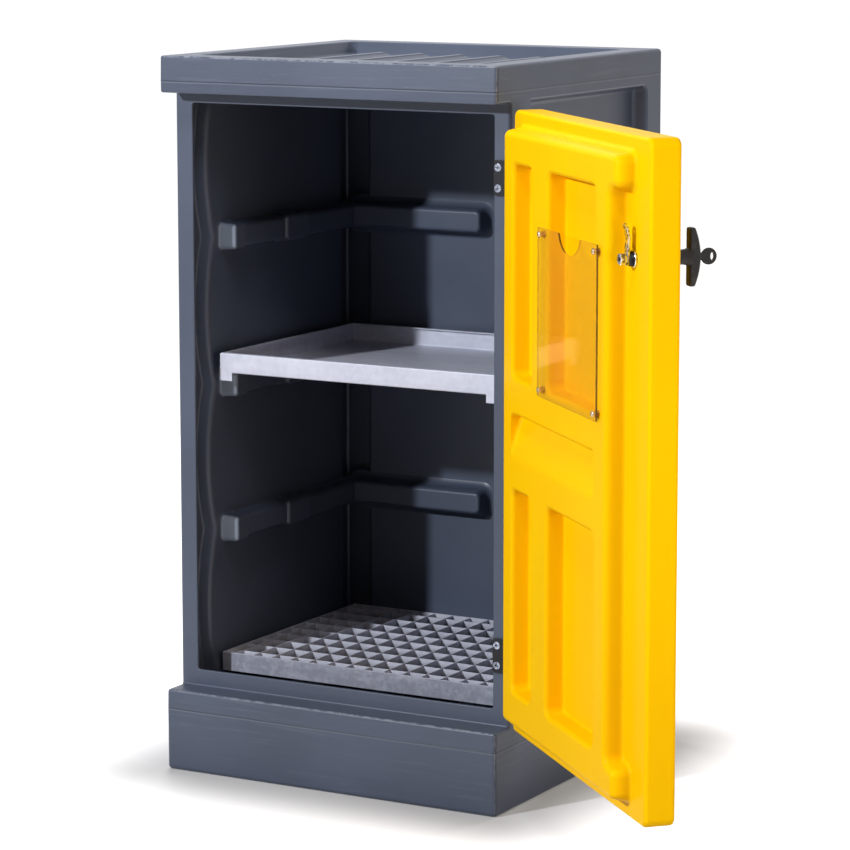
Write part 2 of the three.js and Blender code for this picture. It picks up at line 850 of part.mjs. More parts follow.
function pocketSheet() {
  const left = along(pocketTo);
  const right = along(pocketFrom);
  const top = pocketBottom + pocket.height;
  const notchMiddle = (left + right) / 2 - pocket.notchOffset;
  const notchRight = notchMiddle + pocket.notchWidth / 2;
  const notchLeft = notchMiddle - pocket.notchWidth / 2;
  const shape = new THREE.Shape();
  shape.moveTo(left, pocketBottom);
  shape.lineTo(right, pocketBottom);
  shape.lineTo(right, top);
  shape.lineTo(notchRight, top);
  shape.bezierCurveTo(
    notchMiddle + pocket.notchWidth / 4,
    top,
    notchMiddle + pocket.notchWidth / 4,
    top - pocket.notchDepth,
    notchMiddle,
    top - pocket.notchDepth,
  );
  shape.bezierCurveTo(
    notchMiddle - pocket.notchWidth / 4,
    top - pocket.notchDepth,
    notchMiddle - pocket.notchWidth / 4,
    top,
    notchLeft,
    top,
  );
  shape.lineTo(left, top);
  shape.closePath();
  const sheet = extrudedAlongY(shape, [sheetBack, sheetBack + pocket.sheet], 0, roundSides / 3);
  const holes = pocketScrews.map(([u, z]) => roundAlongY(
    along(u),
    z,
    [sheetBack - overrun, sheetBack + pocket.sheet + overrun],
    pocket.holeRadius,
    pocket.holeRadius,
    shankSides,
  ));
  return part('document_pocket', geometryOf(cutBy(solidOf(sheet), ...holes)), acrylic);
}

function spacer() {
  const height = [0, pocket.standOff - 2 * gap];
  const ring = solidOf(roundAlongY(0, 0, height, pocket.spacerRadius, pocket.spacerRadius, smallSides));
  const bore = roundAlongY(
    0,
    0,
    [-overrun, height[1] + overrun],
    pocket.holeRadius,
    pocket.holeRadius,
    shankSides,
  );
  return geometryOf(cutBy(ring, bore));
}

function panScrew() {
  const radius = pocket.screwRadius;
  const shank = roundAlongY(0, 0, [-pocket.screwLength, 0], radius, radius, shankSides);
  const head = roundAlongY(0, 0, [0, pocket.headHeight], pocket.headRadius, pocket.headTop, smallSides);
  return geometryOf(joined(head, shank));
}

// Latch, drawn in the door's own places

const sleeveOuter = outward(door.thickness) - gap - latch.flange;
const sleeveInner = outward(-latch.sleeveInside);
const barInner = sleeveOuter - gap - handle.neck;
const barOuter = barInner - handle.barMiddle;
const leverFace = sleeveInner + gap; // of the lever's hub, towards the door

const alongLatch = (y, radius, endRadius, sides) =>
  roundAlongY(latchX, latchHeight, y, radius, endRadius, sides);

function lockBarrel() {
  const sleeve = alongLatch([sleeveOuter, sleeveInner], latch.sleeveRadius);
  const flangeY = [sleeveOuter, sleeveOuter + latch.flange];
  const flange = alongLatch(flangeY, latch.flangeFaceRadius, latch.flangeRadius);
  const bore = alongLatch([sleeveOuter - overrun, sleeveInner + overrun], latch.boreRadius);
  return part('lock_barrel', geometryOf(cutBy(joined(sleeve, flange), bore)), blackPlastic);
}

function lockNut() {
  const y = [outward(0) + gap, outward(0) + gap + latch.nut];
  const bore = alongLatch([y[0] - overrun, y[1] + overrun], latch.sleeveRadius + gap);
  return part('lock_nut', geometryOf(cutBy(solidOf(alongLatch(y, latch.nutRadius)), bore)), chrome);
}

function barOutline() {
  const half = handle.bar / 2;
  const shape = new THREE.Shape();
  shape.moveTo(barInner, -half);
  shape.lineTo(barInner, half);
  shape.lineTo(barInner - handle.barEnd, half);
  shape.quadraticCurveTo(2 * barOuter - barInner + handle.barEnd, 0, barInner - handle.barEnd, -half);
  shape.closePath();
  return shape;
}

function leverSeat() {
  const half = latch.square / 2;
  const y = [leverFace - latch.sleeveInside, leverFace + lever.thickness];
  return block([latchX - half, latchX + half], y, [latchHeight - half, latchHeight + half]);
}

function tHandle() {
  const width = [latchX - handle.barWidth / 2, latchX + handle.barWidth / 2];
  const bar = new THREE.ExtrudeGeometry(barOutline(), {
    depth: handle.barWidth - 2 * handle.edgeRadius,
    bevelThickness: handle.edgeRadius,
    bevelSize: handle.edgeRadius,
    bevelOffset: -handle.edgeRadius,
    bevelSegments: edgeSteps,
    curveSegments: roundSides / 3,
  }).rotateX(Math.PI / 2).rotateZ(Math.PI / 2).translate(width[0] + handle.edgeRadius, 0, latchHeight);
  const neck = alongLatch([barInner - handle.edgeRadius, sleeveOuter - gap], handle.neckRadius);
  const spindle = alongLatch([barInner, leverFace - gap], latch.spindleRadius);
  const stud = alongLatch([leverFace, leverFace + lever.thickness + nut.stud], nut.studRadius);
  const plugHole = alongLatch([barOuter - overrun, barOuter + lock.plug + gap], lock.plugRadius + gap);
  const solid = cutBy(joined(bar, neck, spindle, leverSeat(), stud), plugHole);
  return part('t_handle', geometryOf(solid), blackPlastic);
}

function leverStrip() {
  const y0 = leverFace;
  const z0 = latchHeight;
  const t = lever.thickness;
  const knee = y0 - lever.kneeOut + t;
  const tip = y0 + lever.tipIn;
  const corners = [
    [y0, z0 - lever.hubRadius],
    [y0 + t, z0 - lever.hubRadius],
    [y0 + t, z0 + lever.hubRadius],
    [knee + t, z0 + lever.kneeRise],
    [tip + t, z0 + lever.rise],
    [tip, z0 + lever.rise],
    [knee, z0 + lever.kneeRise],
    [y0, z0 + lever.hubRadius],
  ];
  return outline(corners, t / 3);
}

function camLever() {
  const half = lever.width / 2;
  const strip = solidOf(extrudedAlongX(leverStrip(), [latchX - half, latchX + half]));
  const hole = latch.square / 2 + latch.squarePlay;
  const y = [leverFace - overrun, leverFace + lever.thickness + overrun];
  const square = block([latchX - hole, latchX + hole], y, [latchHeight - hole, latchHeight + hole]);
  return part('cam_lever', geometryOf(cutBy(strip, square)), chrome);
}

function camNut() {
  const y0 = leverFace + lever.thickness + gap;
  const y = [y0, y0 + nut.height];
  const barrel = solidOf(alongLatch(y, nut.radius, nut.radius, hexSides));
  const bore = alongLatch([y[0] - overrun, y[1] + overrun], nut.studRadius + gap);
  return part('cam_nut', geometryOf(cutBy(barrel, bore)), chrome);
}

function lockPlug() {
  const y = [barOuter, barOuter + lock.plug];
  const half = { x: lock.slotWidth / 2, z: lock.slotHeight / 2 };
  const slot = block(
    [latchX - half.x, latchX + half.x],
    [y[0] - overrun, y[1] - gap],
    [latchHeight - half.z, latchHeight + half.z],
  );
  return part('lock_plug', geometryOf(cutBy(solidOf(alongLatch(y, lock.plugRadius)), slot)), chrome);
}

function keyPiece() {
  const half = key.bladeThickness / 2;
  const halfHead = key.headThickness / 2;
  const face = barOuter - gap;
  const blade = block(
    [latchX - half, latchX + half],
    [face - key.shoulder, face + key.blade],
    [latchHeight - key.bladeHeight / 2, latchHeight + key.bladeHeight / 2],
  );
  const centre = face - key.shoulder - key.headRadius + gap;
  const head = new THREE.CylinderGeometry(key.headRadius, key.headRadius, key.headThickness, roundSides)
    .rotateZ(Math.PI / 2)
    .translate(latchX, centre, latchHeight);
  const hole = new THREE.CylinderGeometry(1, 1, key.headThickness + 2 * overrun, shankSides)
    .rotateZ(Math.PI / 2)
    .scale(1, key.holeWidth / 2, key.holeHeight / 2)
    .translate(latchX, centre - key.holeFromCentre, latchHeight);
  const neck = block(
    [latchX - halfHead, latchX + halfHead],
    [face - key.shoulder - gap, face - key.shoulder],
    [latchHeight - key.bladeHeight / 2, latchHeight + key.bladeHeight / 2],
  );
  return part('key', geometryOf(cutBy(joined(head, blade, neck), hole)), blackPlastic);
}

// Assembly

const endNames = ['top', 'bottom'];

function hingesOnCabinet() {
  const pieces = [];
  for (const [name, z] of Object.entries(hingeHeights)) {
    pieces.push(placed(part(`${name}_hinge_body_leaf`, jambLeaf(), blackMetal), ...hingeAxis, z));
    pieces.push(placed(part(`${name}_hinge_pin`, hingePin(), blackMetal), ...hingeAxis, z));
    endNames.forEach((end, i) => {
      const height = z + (0.5 - i) * hinge.screwSpacing;
      const face = hingeAxis[1] + jambLeafY - hinge.leaf + screw.sunk;
      const mesh = part(`${name}_jamb_screw_${end}`, countersunkScrew(), chrome);
      pieces.push(placed(mesh, doorwayRight + hinge.jambScrew, face, height));
    });
  }
  return pieces;
}

function hingesOnDoor() {
  const pieces = [];
  for (const [name, z] of Object.entries(hingeHeights)) {
    pieces.push(placed(part(`${name}_hinge_door_leaf`, doorLeaf(), blackMetal), 0, 0, z));
    endNames.forEach((end, i) => {
      const height = z + (0.5 - i) * hinge.screwSpacing;
      const mesh = part(`${name}_door_screw_${end}`, countersunkScrew(), chrome);
      mesh.rotation.z = Math.PI;
      pieces.push(placed(mesh, along(hinge.doorScrew), doorLeafY - screw.sunk, height));
    });
  }
  return pieces;
}

function pocketFixings() {
  const cornerNames = ['hinge_side_bottom', 'hinge_side_top', 'latch_side_bottom', 'latch_side_top'];
  return pocketScrews.flatMap(([u, z], i) => [
    placed(part(`pocket_spacer_${cornerNames[i]}`, spacer(), acrylic), along(u), spacerFace, z),
    placed(part(`pocket_screw_${cornerNames[i]}`, panScrew(), chrome), along(u), screwSeat, z),
  ]);
}

const doorGroup = new THREE.Group();
doorGroup.position.set(...hingeAxis, 0);
doorGroup.rotation.z = THREE.MathUtils.degToRad(hinge.openAngle);
doorGroup.add(
  doorPanel(),
  ...hingesOnDoor(),
  pocketSheet(),
  ...pocketFixings(),
  lockBarrel(),
  lockNut(),
  tHandle(),
  camLever(),
  camNut(),
  lockPlug(),
  keyPiece(),
);

const cabinet = new THREE.Group();
cabinet.position.set(-body.width / 2, -body.depth / 2, 0);
cabinet.add(cabinetBody(), ...hingesOnCabinet(), shelfTray(), sumpGrating(), doorGroup);

const model = new THREE.Group();
model.add(cabinet);

export default model;
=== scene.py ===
# A moulded plastic storage cabinet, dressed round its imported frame.
# Shapes are drawn in millimetres: the cabinet's from its front left bottom corner, and the door's
# closed, from its hinge axis. Two matrices put them in place.

import json
import math
from types import SimpleNamespace as Settings

import bmesh
import bpy
from mathutils import Matrix, Vector


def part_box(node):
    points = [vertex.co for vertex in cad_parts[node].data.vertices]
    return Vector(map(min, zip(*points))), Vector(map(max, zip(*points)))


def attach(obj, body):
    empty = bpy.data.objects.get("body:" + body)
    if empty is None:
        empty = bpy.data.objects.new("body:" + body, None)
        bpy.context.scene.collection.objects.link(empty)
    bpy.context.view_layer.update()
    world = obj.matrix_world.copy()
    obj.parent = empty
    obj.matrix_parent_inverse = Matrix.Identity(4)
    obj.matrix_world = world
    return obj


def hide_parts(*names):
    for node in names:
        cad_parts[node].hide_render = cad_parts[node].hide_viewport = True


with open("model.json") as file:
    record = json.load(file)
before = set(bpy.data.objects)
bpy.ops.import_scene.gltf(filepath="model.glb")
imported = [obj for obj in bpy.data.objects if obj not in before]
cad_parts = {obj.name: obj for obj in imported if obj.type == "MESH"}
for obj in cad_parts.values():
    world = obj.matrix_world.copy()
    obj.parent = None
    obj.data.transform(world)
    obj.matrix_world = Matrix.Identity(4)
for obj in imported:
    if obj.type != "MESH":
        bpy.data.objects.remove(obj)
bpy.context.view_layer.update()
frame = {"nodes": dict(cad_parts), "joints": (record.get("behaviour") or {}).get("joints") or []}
print("frame loaded:", len(frame["nodes"]), "nodes")

mm = 0.001
joints = {joint["name"]: joint for joint in frame["joints"]}
cabinetLow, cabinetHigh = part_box("cabinet_body")
cabinetPlace = Matrix.Translation(cabinetLow) @ Matrix.Scale(mm, 4)
openAngle = math.radians(-joints["door_hinge"]["range_deg"][0])
doorPlace = (
    Matrix.Translation(joints["door_hinge"]["pos_m"])
    @ Matrix.Rotation(openAngle, 4, "Z")
    @ Matrix.Scale(mm, 4)
)


def placeOf(body):
    return cabinetPlace if body in ("cabinet", "grating", "shelf") else doorPlace


def span(node, place=doorPlace):
    # lowest and highest corner of a node, in the millimetres of the place it is drawn in
    back = place.inverted()
    points = [back @ vertex.co for vertex in frame["nodes"][node].data.vertices]
    return (
        Vector([min(point[i] for point in points) for i in range(3)]),
        Vector([max(point[i] for point in points) for i in range(3)]),
    )


# Shapes

overlap = 3  # how far a cutting form reaches past what it cuts
leastRadius = 0.02
lipStart = 10  # degrees into a lip's arc, so that it doesn't start flat
cleaning = Settings(weld=0.004, sliver=0.002, crease=32)


def roundedRing(corners, radii, offset, steps):
    # a closed outline, anticlockwise, moved out by offset, with an arc at each corner that has a radius
    ring = []
    count = len(corners)
    for i in range(count):
        here = Vector(corners[i])
        before = (here - Vector(corners[i - 1])).normalized()
        after = (Vector(corners[(i + 1) % count]) - here).normalized()
        outBefore = Vector((before.y, -before.x))
        outAfter = Vector((after.y, -after.x))
        moved = here + offset * (outBefore + outAfter) / (1 + outBefore.dot(outAfter))
        turn = math.atan2(before.cross(after), before.dot(after))
        if radii[i] <= 0:
            ring.append(moved)
            continue
        side = 1 if turn > 0 else -1
        radius = max(radii[i] + side * offset, leastRadius)
        reach = radius * math.tan(abs(turn) / 2)
        start = moved - before * reach
        centre = start - outBefore * radius * side
        for k in range(steps + 1):
            swing = Matrix.Rotation(turn * k / steps, 2)
            ring.append(centre + swing @ (start - centre))
    return ring


def lofted(rings):
    # one closed form through rings of places, with flat ends
    form = bmesh.new()
    rings = [[form.verts.new(place) for place in ring] for ring in rings]
    count = len(rings[0])
    for low, high in zip(rings, rings[1:]):
        for i in range(count):
            j = (i + 1) % count
            form.faces.new((low[i], low[j], high[j], high[i]))
    form.faces.new(rings[0][::-1])
    form.faces.new(rings[-1])
    bmesh.ops.recalc_face_normals(form, faces=form.faces)
    return form


def mould(corners, radii, profile, place, steps=5):
    # lofts an outline along a profile of (offset, depth) pairs
    if not hasattr(radii, "__len__"):
        radii = [radii] * len(corners)
    return lofted([
        [place(a, b, depth) for a, b in roundedRing(corners, radii, offset, steps)]
        for offset, depth in profile
    ])


def circle(radius, height, place, sides):
    turns = [2 * math.pi * k / sides for k in range(sides)]
    return [place(radius * math.cos(turn), radius * math.sin(turn), height) for turn in turns]


def turned(profile, place, sides=40):
    # a round form from (radius, height) pairs
    return lofted([circle(radius, height, place, sides) for radius, height in profile])


def tube(inner, outer, low, high, place, edge=0.3, sides=40):
    # a ring with small chamfers
    section = [
        (outer - edge, low), (outer, low + edge), (outer, high - edge), (outer - edge, high),
        (inner + edge, high), (inner, high - edge), (inner, low + edge), (inner + edge, low),
    ]
    circles = [circle(radius, height, place, sides) for radius, height in section]
    form = bmesh.new()
    rings = [[form.verts.new(places[k]) for places in circles] for k in range(sides)]
    count = len(section)
    for near, far in zip(rings, rings[1:] + rings[:1]):
        for i in range(count):
            j = (i + 1) % count
            form.faces.new((near[i], near[j], far[j], far[i]))
    bmesh.ops.recalc_face_normals(form, faces=form.faces)
    return form


def box(low, high, edge=0.0):
    form = bmesh.new()
    bmesh.ops.create_cube(form, size=1)
    for vertex in form.verts:
        vertex.co = [low[i] if vertex.co[i] < 0 else high[i] for i in range(3)]
    if edge > 0:
        bmesh.ops.bevel(form, geom=form.edges[:], offset=edge, segments=2, profile=0.5, affect="EDGES")
    bmesh.ops.recalc_face_normals(form, faces=form.faces)
    return form


def rectangle(low, high):
    return [(low[0], low[1]), (high[0], low[1]), (high[0], high[1]), (low[0], high[1])]


def quarter(steps, start=0.0):
    return [math.radians(start + (90 - start) * k / steps) for k in range(steps + 1)]


def solidProfile(low, high, radius, highRadius=None, steps=4):
    # both ends rounded
    top = highRadius or radius
    lowEnd = [(radius * (math.sin(t) - 1), low + radius * (1 - math.cos(t))) for t in quarter(steps)]
    highEnd = [(top * (math.sin(t) - 1), high - top * (1 - math.cos(t))) for t in quarter(steps)]
    return lowEnd + highEnd[::-1]


def archProfile(rise, mouth, end, draft=0.0, reach=overlap, steps=4):
    # a rounded mouth at a face, and a rounded end at some distance from it
    first = [(mouth * (1 - math.sin(t)), mouth * (1 - math.cos(t))) for t in quarter(steps, lipStart)]
    last = [(-draft - end * (1 - math.cos(t)), rise - end * (1 - math.sin(t))) for t in quarter(steps)]
    return [(first[0][0], -reach)] + first + last


def shifted(profile, outwards, along):
    return [(offset + outwards, rise + along) for offset, rise in profile]


def merged(*forms):
    # several forms that don't touch, as one
    whole = bmesh.new()
    for form in forms:
        mesh = bpy.data.meshes.new("part")
        form.to_mesh(mesh)
        whole.from_mesh(mesh)
        bpy.data.meshes.remove(mesh)
        form.free()
    return whole


def held(name, form):
    mesh = bpy.data.meshes.new(name)
    form.to_mesh(mesh)
    form.free()
    thing = bpy.data.objects.new(name, mesh)
    bpy.context.scene.collection.objects.link(thing)
    return thing


cut, join, keep = "DIFFERENCE", "UNION", "INTERSECT"


def carved(name, base, *steps):
    # joins, cuts or intersects forms in turn, and gives one new mesh
    thing = held(name, base)
    tools = []
    for operation, form in steps:
        tool = held(name + "_tool", form)
        tools.append(tool)
        change = thing.modifiers.new(operation, "BOOLEAN")
        change.operation = operation
        change.solver = "MANIFOLD"
        change.object = tool
    bpy.context.view_layer.update()
    graph = bpy.context.evaluated_depsgraph_get()
    result = bpy.data.meshes.new_from_object(thing.evaluated_get(graph))
    for tool in [thing, *tools]:
        mesh = tool.data
        bpy.data.objects.remove(tool)
        bpy.data.meshes.remove(mesh)
    form = bmesh.new()
    form.from_mesh(result)
    bpy.data.meshes.remove(result)
    return form


def finished(name, form, materials, body, node):
    # cleans a form, puts it in place, and lets it ride on its body instead of its node
    bmesh.ops.remove_doubles(form, verts=form.verts, dist=cleaning.weld)
    bmesh.ops.dissolve_degenerate(form, edges=form.edges, dist=cleaning.sliver)
    for face in form.faces:
        face.smooth = True
    form.transform(placeOf(body))
    thing = held(name, form)
    thing.data.set_sharp_from_angle(angle=math.radians(cleaning.crease))
    for material in materials if isinstance(materials, list) else [materials]:
        thing.data.materials.append(material)
    weighting = thing.modifiers.new("flat faces", "WEIGHTED_NORMAL")
    weighting.keep_sharp = True
    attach(thing, body)
    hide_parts(node)


# Materials


class Socket:
    # an output of a node, for sums written as plain expressions
    def __init__(self, finish, socket):
        self.finish = finish
        self.socket = socket

    def math(self, operation, *others):
        values = {i: value for i, value in enumerate([self, *others])}
        return self.finish.node("ShaderNodeMath", {"operation": operation}, values)

    def __add__(self, other):
        return self.math("ADD", other)

    __radd__ = __add__

    def __sub__(self, other):
        return self.math("SUBTRACT", other)

    def __rsub__(self, other):
        return (self * -1).math("ADD", other)

    def __mul__(self, other):
        return self.math("MULTIPLY", other)

    __rmul__ = __mul__

    def __pow__(self, other):
        return self.math("POWER", other)

    def ramp(self, low, high):
        # 0 below low, 1 above high, smooth between them
        return self.finish.node(
            "ShaderNodeMapRange",
            {"interpolation_type": "SMOOTHSTEP"},
            {"Value": self, "From Min": low, "From Max": high},
        )

    def near(self, full, gone):
        # 1 where the value is within full of zero, either way, and 0 past gone
        return 1 - self.math("ABSOLUTE").ramp(full, gone)


class Finish:
    # a material and the nodes in it
    def __init__(self, name, **values):
        self.material = bpy.data.materials.new(name)
        self.material.use_nodes = True
        self.tree = self.material.node_tree
        self.shader = self.tree.nodes["Principled BSDF"]
        self.set(**values)

    def set(self, **values):
        for key, value in values.items():
            name = " ".join(word.capitalize() for word in key.split("_"))
            self.join(value, self.shader.inputs[name.replace("Ior", "IOR")])

    def join(self, value, socket):
        if isinstance(value, Socket):
            self.tree.links.new(value.socket, socket)
        else:
            socket.default_value = value

    def node(self, kind, settings=None, inputs=None, output=0):
        made = self.tree.nodes.new(kind)
        for key, value in (settings or {}).items():
            setattr(made, key, value)
        for key, value in (inputs or {}).items():
            self.join(value, made.inputs[key])
        return Socket(self, made.outputs[output])

    def place(self):
        return self.node("ShaderNodeTexCoord", output=3)

    def parts(self):
        # the place on the object as three numbers
        apart = self.node("ShaderNodeSeparateXYZ", {}, {"Vector": self.place()}).socket.node
        return [Socket(self, output) for output in apart.outputs]

    def noise(self, scale, detail=2.0, roughness=0.5, stretch=None):
        where = self.place()
        if stretch:
            where = self.node("ShaderNodeMapping", {}, {"Vector": where, "Scale": stretch})
        inputs = {"Vector": where, "Scale": scale, "Detail": detail, "Roughness": roughness}
        return self.node("ShaderNodeTexNoise", {}, inputs)

    def mix(self, factor, low, high):
        return self.node("ShaderNodeMix", {"data_type": "RGBA"}, {0: factor, 6: low, 7: high}, output=2)

    def bump(self, height, distance, strength=1.0, normal=None):
        inputs = {"Height": height, "Distance": distance, "Strength": strength}
        if normal:
            inputs["Normal"] = normal
        return self.node("ShaderNodeBump", {}, inputs)

    def grainAndWaves(self, settings):
        fine = self.bump(self.noise(**settings.grain), *settings.grainBump)
        return self.bump(self.noise(**settings.waves), *settings.wavesBump, fine)


def shade(colour, by=1):
    return (colour[0] * by, colour[1] * by, colour[2] * by, 1)


shell = Settings(
    height=(cabinetHigh.z - cabinetLow.z) / mm, wall=5, setback=43, plinth=128,
    lid=56, plinthParting=98,
    lidParting=38,  # below the top
    draft=1.0, ridge=[(-3, -2.2), (0.3, -0.35), (0.45, 0), (0.3, 0.35), (-3, 2.2)],
    ridgeCorner=7, sideRadius=6, bottomRadius=7, plinthEdge=5, lidEdge=3,
    lidUnderEdge=2, rearEdge=6, rootFillet=3, underLidFillet=3,
)

slate = Settings(
    colour=(0.063, 0.077, 0.113), broad={"scale": 3.2, "detail": 3, "roughness": 0.6},
    mottle=0.10, speck={"scale": 260, "detail": 2},
    rub={"scale": 90, "detail": 4, "roughness": 0.7, "stretch": (0.25, 1, 2.2)},
    scuff=(0.42, 0.45, 0.50, 1), scuffedCorner=0.05, edgeWear=0.0034,
    broken={"scale": 70, "detail": 3, "roughness": 0.6},
    wander={"scale": 14, "detail": 4, "roughness": 0.65}, wanderBy=0.0022, paleBelow=0.0021,
    scratch={"scale": 170, "detail": 3, "roughness": 0.6, "stretch": (0.05, 0.05, 1)},
    # the colour of the light painted on the ledges' front ends
    cap=(0.36, 0.43, 0.55, 1), capDepth=118,
    capFrom=0.060,  # in from the cabinet's side
    capTo=0.0285, capLevels=(0.30, 0.90), roughness=0.38,
    grain={"scale": 900, "detail": 2}, grainBump=(0.00006, 0.6),
    waves={"scale": 11, "detail": 1}, wavesBump=(0.0011, 0.8),
)


def slateWearAndHighlight(made, x, y, z):
    # faint pale rubs and scuffs on the lid's front corner as wear, and pale broken edges that are partly
    # wear and partly a painted highlight
    rub = made.noise(**slate.rub)
    lidCorner = (cabinetHigh.x, cabinetLow.y, cabinetHigh.z)
    away = made.node(
        "ShaderNodeVectorMath", {"operation": "DISTANCE"}, {0: made.place(), 1: lidCorner}, output=1
    )
    corner = 1 - away.ramp(0.2 * slate.scuffedCorner, slate.scuffedCorner)
    wearAndHighlight = rub.ramp(0.60, 0.72) * corner + rub.ramp(0.70, 0.80) * 0.10
    front = y - (cabinetLow.y + shell.draft * mm)
    top, side, plinth = z - cabinetHigh.z, x - cabinetHigh.x, z - shell.plinth * mm
    broken = made.noise(**slate.broken).ramp(0.38, 0.60)
    # pale along the outer edges: partly wear, partly a painted highlight on their rounding
    for a, b in ((front, top), (front, side), (top, side), (front, plinth)):
        away = (a * a + b * b) ** 0.5
        wearAndHighlight = wearAndHighlight + (1 - away.ramp(0.4 * slate.edgeWear, slate.edgeWear)) * broken * 0.5
    return wearAndHighlight


def slateLines(made, z, colour):
    # the mould's parting lines, dark above and pale below, and fine scratches along the outside
    wander = made.noise(**slate.wander)
    for level in (shell.plinthParting, shell.height - shell.lidParting):
        off = z - level * mm + (wander - 0.5) * slate.wanderBy
        colour = made.mix(off.near(0.0003, 0.0011) * 0.75, colour, shade(slate.colour, 0.35))
        pale = (off + slate.paleBelow).near(0.0003, 0.0013)
        colour = made.mix(pale * 0.16, colour, slate.scuff)
    onLid = (z - (shell.height - shell.lid) * mm).ramp(-0.001, 0.001)
    outside = onLid + (shell.plinth * mm - z).ramp(-0.001, 0.001)
    scratch = made.noise(**slate.scratch)
    colour = made.mix(scratch.ramp(0.56, 0.72) * outside * 0.05, colour, slate.scuff)
    return made.mix((0.44 - scratch).ramp(0.0, 0.14) * outside * 0.14, colour, shade(slate.colour, 0.6))


def paintedLightOnCaps(x, y, z):
    # the ledges' front ends, painted pale and blue: a painted pool of light on them
    capLight = (y - (cabinetLow.y + slate.capDepth * mm)).near(0.003, 0.010)
    aside = x.math("ABSOLUTE")
    capLight = capLight * (aside - (cabinetHigh.x - slate.capFrom)).ramp(0.0, 0.002)
    capLight = capLight * (cabinetHigh.x - slate.capTo - aside).ramp(0.0, 0.002)
    low, high = slate.capLevels
    return capLight * z.ramp(low, low + 0.01) * (high - z).ramp(0.0, 0.01)


def slatePlastic():
    made = Finish("slate_plastic")
    x, y, z = made.parts()
    broad = made.noise(**slate.broad)
    tones = [shade(slate.colour, 1 + slate.mottle * side) for side in (-1, 1)]
    colour = made.mix(broad.ramp(0.3, 0.7), *tones)
    speck = made.noise(**slate.speck)
    colour = made.mix(speck.ramp(0.62, 0.78) * 0.16, colour, shade(slate.colour, 2.0))
    wearAndHighlight = slateWearAndHighlight(made, x, y, z)
    colour = slateLines(made, z, made.mix(wearAndHighlight * 0.8, colour, slate.scuff))
    made.set(
        base_color=made.mix(paintedLightOnCaps(x, y, z) * 0.7, colour, slate.cap),
        roughness=slate.roughness + (broad - 0.5) * 0.16 + wearAndHighlight * 0.2,
        specular_ior_level=0.35,
        normal=made.grainAndWaves(slate),
    )
    return made.material


yellow = Settings(
    colour=(0.98, 0.56, 0.001), deep=(0.97, 0.50, 0.001),
    broad={"scale": 4.5, "detail": 3, "roughness": 0.55}, even=0.62,
    speck={"scale": 300, "detail": 1}, speckColour=(0.60, 0.30, 0.01, 1),
    roughness=0.36, grain={"scale": 700, "detail": 2}, grainBump=(0.00005, 0.5),
    waves={"scale": 9, "detail": 1, "stretch": (1, 1, 0.35)}, wavesBump=(0.0014, 0.9),
)


def yellowPlastic():
    made = Finish("yellow_plastic", specular_ior_level=0.03)
    broad = made.noise(**yellow.broad)
    colour = made.mix(broad.ramp(0.35, 0.75), shade(yellow.deep), shade(yellow.colour))
    colour = made.mix(yellow.even, colour, shade(yellow.colour))
    speck = made.noise(**yellow.speck)
    made.set(
        base_color=made.mix(speck.ramp(0.68, 0.80) * 0.10, colour, yellow.speckColour),
        roughness=yellow.roughness + (broad - 0.5) * 0.14,
        normal=made.grainAndWaves(yellow),
    )
    return made.material


zinc = Settings(
    light=(0.61, 0.62, 0.70), dark=(0.49, 0.50, 0.58), spangle=140.0,
    cloud={"scale": 26, "detail": 5, "roughness": 0.65},
    streak={"scale": 60, "detail": 3, "stretch": (0.15, 1, 1)}, roughness=0.42,
    # deep is the colour of the painted shade below the tops of the grating's bars
    grainBump=(0.00012, 0.5), deep=(0.045, 0.042, 0.045), deepFrom=0.003,
    deepTo=0.019, front=(0.26, 0.27, 0.33),
)


def galvanisedSteel():
    made = Finish("galvanised_steel", metallic=0.12, specular_ior_level=0.25)
    spangle = made.node(
        "ShaderNodeTexVoronoi",
        {"feature": "F1"},
        {"Vector": made.place(), "Scale": zinc.spangle, "Randomness": 1.0},
        output=1,
    )
    tone = made.node("ShaderNodeSeparateColor", {}, {0: spangle})
    cloud = made.noise(**zinc.cloud)
    blend = tone * 0.12 + cloud * 0.48 + made.noise(**zinc.streak) * 0.4
    colour = made.mix(blend.ramp(0.25, 0.75), shade(zinc.dark), shade(zinc.light))
    # the grating's bars are painted darker below their tops, a painted shade, and the face of its front band
    # is darker than the bars
    low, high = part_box("sump_grating")
    x, y, z = made.parts()
    below = high.z - z
    behind = (y - low.y).ramp(0.002, 0.004)
    paintedShade = below.ramp(zinc.deepFrom, zinc.deepTo) * behind * 0.9
    colour = made.mix(paintedShade, colour, shade(zinc.deep))
    atBand = below.ramp(0.0, 0.0005) * (1 - behind)
    made.set(
        base_color=made.mix(atBand * blend.ramp(0.2, 0.6), colour, shade(zinc.front)),
        roughness=zinc.roughness + (cloud - 0.5) * 0.22 + tone * 0.06,
        normal=made.bump(cloud + tone * 0.1, *zinc.grainBump),
    )
    return made.material


chrome = Settings(bright=(0.78, 0.79, 0.82), dull=(0.16, 0.16, 0.18), smear={"scale": 180, "detail": 3})


def chromePlate():
    made = Finish("chrome", metallic=1.0)
    smear = made.noise(**chrome.smear)
    made.set(
        base_color=made.mix(smear.ramp(0.45, 0.62), shade(chrome.bright), shade(chrome.dull)),
        roughness=0.12 + smear.ramp(0.35, 0.75) * 0.12,
        normal=made.bump(smear, 0.00002, 0.4),
    )
    return made.material


def blotched(name, tones, blotch, ramp, roughness, grain=None, **values):
    # two tones in blotches, rougher where the second one is, with a grain for coats
    made = Finish(name, **values)
    patches = made.noise(**blotch)
    made.set(
        base_color=made.mix(patches.ramp(*ramp), *[shade(tone) for tone in tones]),
        roughness=roughness + patches * 0.14,
    )
    if grain:
        made.set(normal=made.bump(made.noise(**grain), 0.00004, 0.5))
    return made.material


